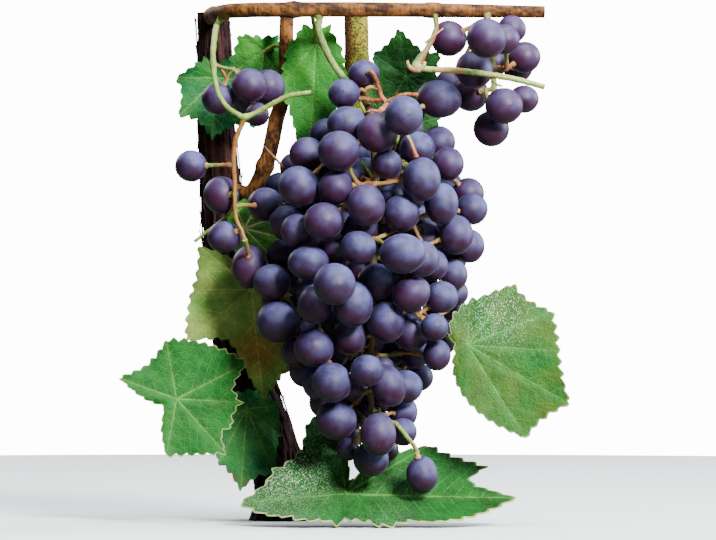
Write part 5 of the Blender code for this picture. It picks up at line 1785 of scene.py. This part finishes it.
def lay_floor():
    """A pale round floor, which the camera sees brighter than the vine does."""
    mesh = bpy.data.meshes.new("floor")
    ring = [(*polar(360 * turn / FLOOR_SIDES, FLOOR_SIZE), 0) for turn in range(FLOOR_SIDES)]
    mesh.from_pydata(ring, [], [list(range(FLOOR_SIDES))])
    paint = bpy.data.materials.new("floor")
    paint.use_nodes = True
    tree = paint.node_tree
    shader = tree.nodes["Principled BSDF"]
    shader.inputs["Roughness"].default_value = 0.8
    seen = tree.nodes.new("ShaderNodeLightPath").outputs["Is Camera Ray"]
    pale = tree.nodes.new("ShaderNodeMapRange")
    pale.inputs["To Min"].default_value = FLOOR_BOUNCE
    pale.inputs["To Max"].default_value = FLOOR_SEEN
    tree.links.new(seen, pale.inputs["Value"])
    tree.links.new(pale.outputs[0], shader.inputs["Base Color"])
    mesh.materials.append(paint)
    ground = put("floor", mesh)


def hang_lights():
    """Soft round lights that face the vine."""
    for name, place, size, watts, colour in LIGHTS:
        lamp = bpy.data.lights.new(name, "AREA")
        lamp.shape = "DISK"
        lamp.size = size
        lamp.energy = watts
        lamp.color = colour
        light = put(name, lamp)
        light.location = place
        light.rotation_euler = (Vector(place) - LIGHTS_AIM).to_track_quat("Z", "Y").to_euler()


def hang_backdrop():
    """A white backdrop for the camera alone. The vine gets a faint warm light from all round."""
    world = bpy.data.worlds.new("studio")
    world.use_nodes = True
    tree = world.node_tree
    plain, seen = tree.nodes["Background"], tree.nodes.new("ShaderNodeBackground")
    plain.inputs["Color"].default_value = (1, 0.95, 0.95, 1)
    plain.inputs["Strength"].default_value = WORLD_LIGHT
    seen.inputs["Color"].default_value = (1, 1, 1, 1)
    seen.inputs["Strength"].default_value = BACKDROP
    ray = tree.nodes.new("ShaderNodeLightPath")
    either = tree.nodes.new("ShaderNodeMixShader")
    sources = (ray.outputs["Is Camera Ray"], plain.outputs[0], seen.outputs[0])
    for source, socket in zip(sources, either.inputs):
        tree.links.new(source, socket)
    tree.links.new(either.outputs[0], tree.nodes["World Output"].inputs[0])
    bpy.context.scene.world = world


def set_camera():
    """A camera square to the front, whose frame is the photograph's."""
    lens = bpy.data.cameras.new("camera")
    lens.sensor_width = SENSOR
    lens.lens = SENSOR * CAMERA_AWAY / (PHOTO_WIDTH * UNIT)
    lens.clip_end = 20
    camera = put("camera", lens)
    camera.location = (
        (PHOTO_WIDTH / 2 - ORIGIN_PIXEL[0]) * UNIT,
        BUNCH_Y * UNIT - CAMERA_AWAY,
        (ORIGIN_PIXEL[1] - PHOTO_HEIGHT / 2) * UNIT,
    )
    camera.rotation_euler = (math.pi / 2, 0, 0)
    bpy.context.scene.camera = camera


# ---------------------------------------------------------------- all the pieces


def left_shoot(limbs, left, template, skin, green, rng):
    """The left shoot with its arm and lateral, and the berries that hang from them."""
    skins, twigs = fruit("left_shoot", left, None, template, rng)
    fork = knotted([(Vector(LEFT_ARM[0][0]), 1.4), (Vector(SMALL_LATERAL[0][0]), 0.9)])
    lines = {name: limbs[name] for name in ("left_shoot", "left_arm", "small_lateral")}
    lines["left_shoot"] = rooted(lines["left_shoot"], STEM_SINK, STEM_FLARE)
    for name, line in lines.items():
        tube(twigs, dense(line, SHOOT_STEP), SHOOT_SIDES, shoot_tint(name), fork)
    small_stems(twigs, "left_shoot")
    skins.make("left_shoot_berries", skin, "berry", "left_shoot")
    twigs.make("left_shoot_twigs", green, "green_stem", "left_shoot")


def green_stems(limbs, groups, green):
    """The two bunches' stems and the right shoot, swollen where laterals leave and at the bend."""
    joints = [(pieces[0][0], 1.1) for _, pieces in groups.values()]
    joints = knotted([*joints, (BEND, 2), (BEND + Vector((3, 4, 7)), 1.2)])
    for name in ("bunch_stem", "right_stem", "right_shoot"):
        shell = Shell()
        line = rooted(dense(limbs[name], STEM_STEP), STEM_SINK, STEM_FLARE)
        tube(shell, line, STEM_SIDES, shoot_tint(name), joints)
        small_stems(shell, name)
        shell.make(f"{name}_skin", green, "green_stem", name)


def leaves(limbs, look, rng):
    """Every leaf: its blade, and its petiole, which ends inside the blade."""
    for number, (name, leaf) in enumerate(LEAVES.items()):
        shell = Shell()
        leaf_shape(shell, name, number, rng)
        line = [(place, radius * PETIOLE_SLIM) for place, radius in petiole_line(leaf, limbs)]
        line[0] = (line[0][0] + PETIOLE_END, line[0][1])
        tube(shell, dense(line, PETIOLE_STEP), PETIOLE_SIDES, petiole_tint, knobbly)
        shell.make(f"{name}_blade", look, "leaf", name)


def main():
    """Lays out the vine, makes its pieces one after another, and sets up the studio."""
    rng = random.Random(SEED + 1)
    limbs = limb_lines()
    groups, left = layout(limbs)
    skin, green, blade = berry_look(), stem_look(), leaf_look()
    template = berry_template()
    wood(limbs, rng)
    for name, (berries, pieces) in groups.items():
        skins, twigs = fruit(name, berries, pieces[0], template, rng)
        skins.make(f"{name}_berries", skin, "berry", name)
        twigs.make(f"{name}_twigs", green, "green_stem", name)
    left_shoot(limbs, left, template, skin, green, rng)
    green_stems(limbs, groups, green)
    leaves(limbs, blade, rng)
    lay_floor()
    hang_lights()
    hang_backdrop()
    set_camera()


main()
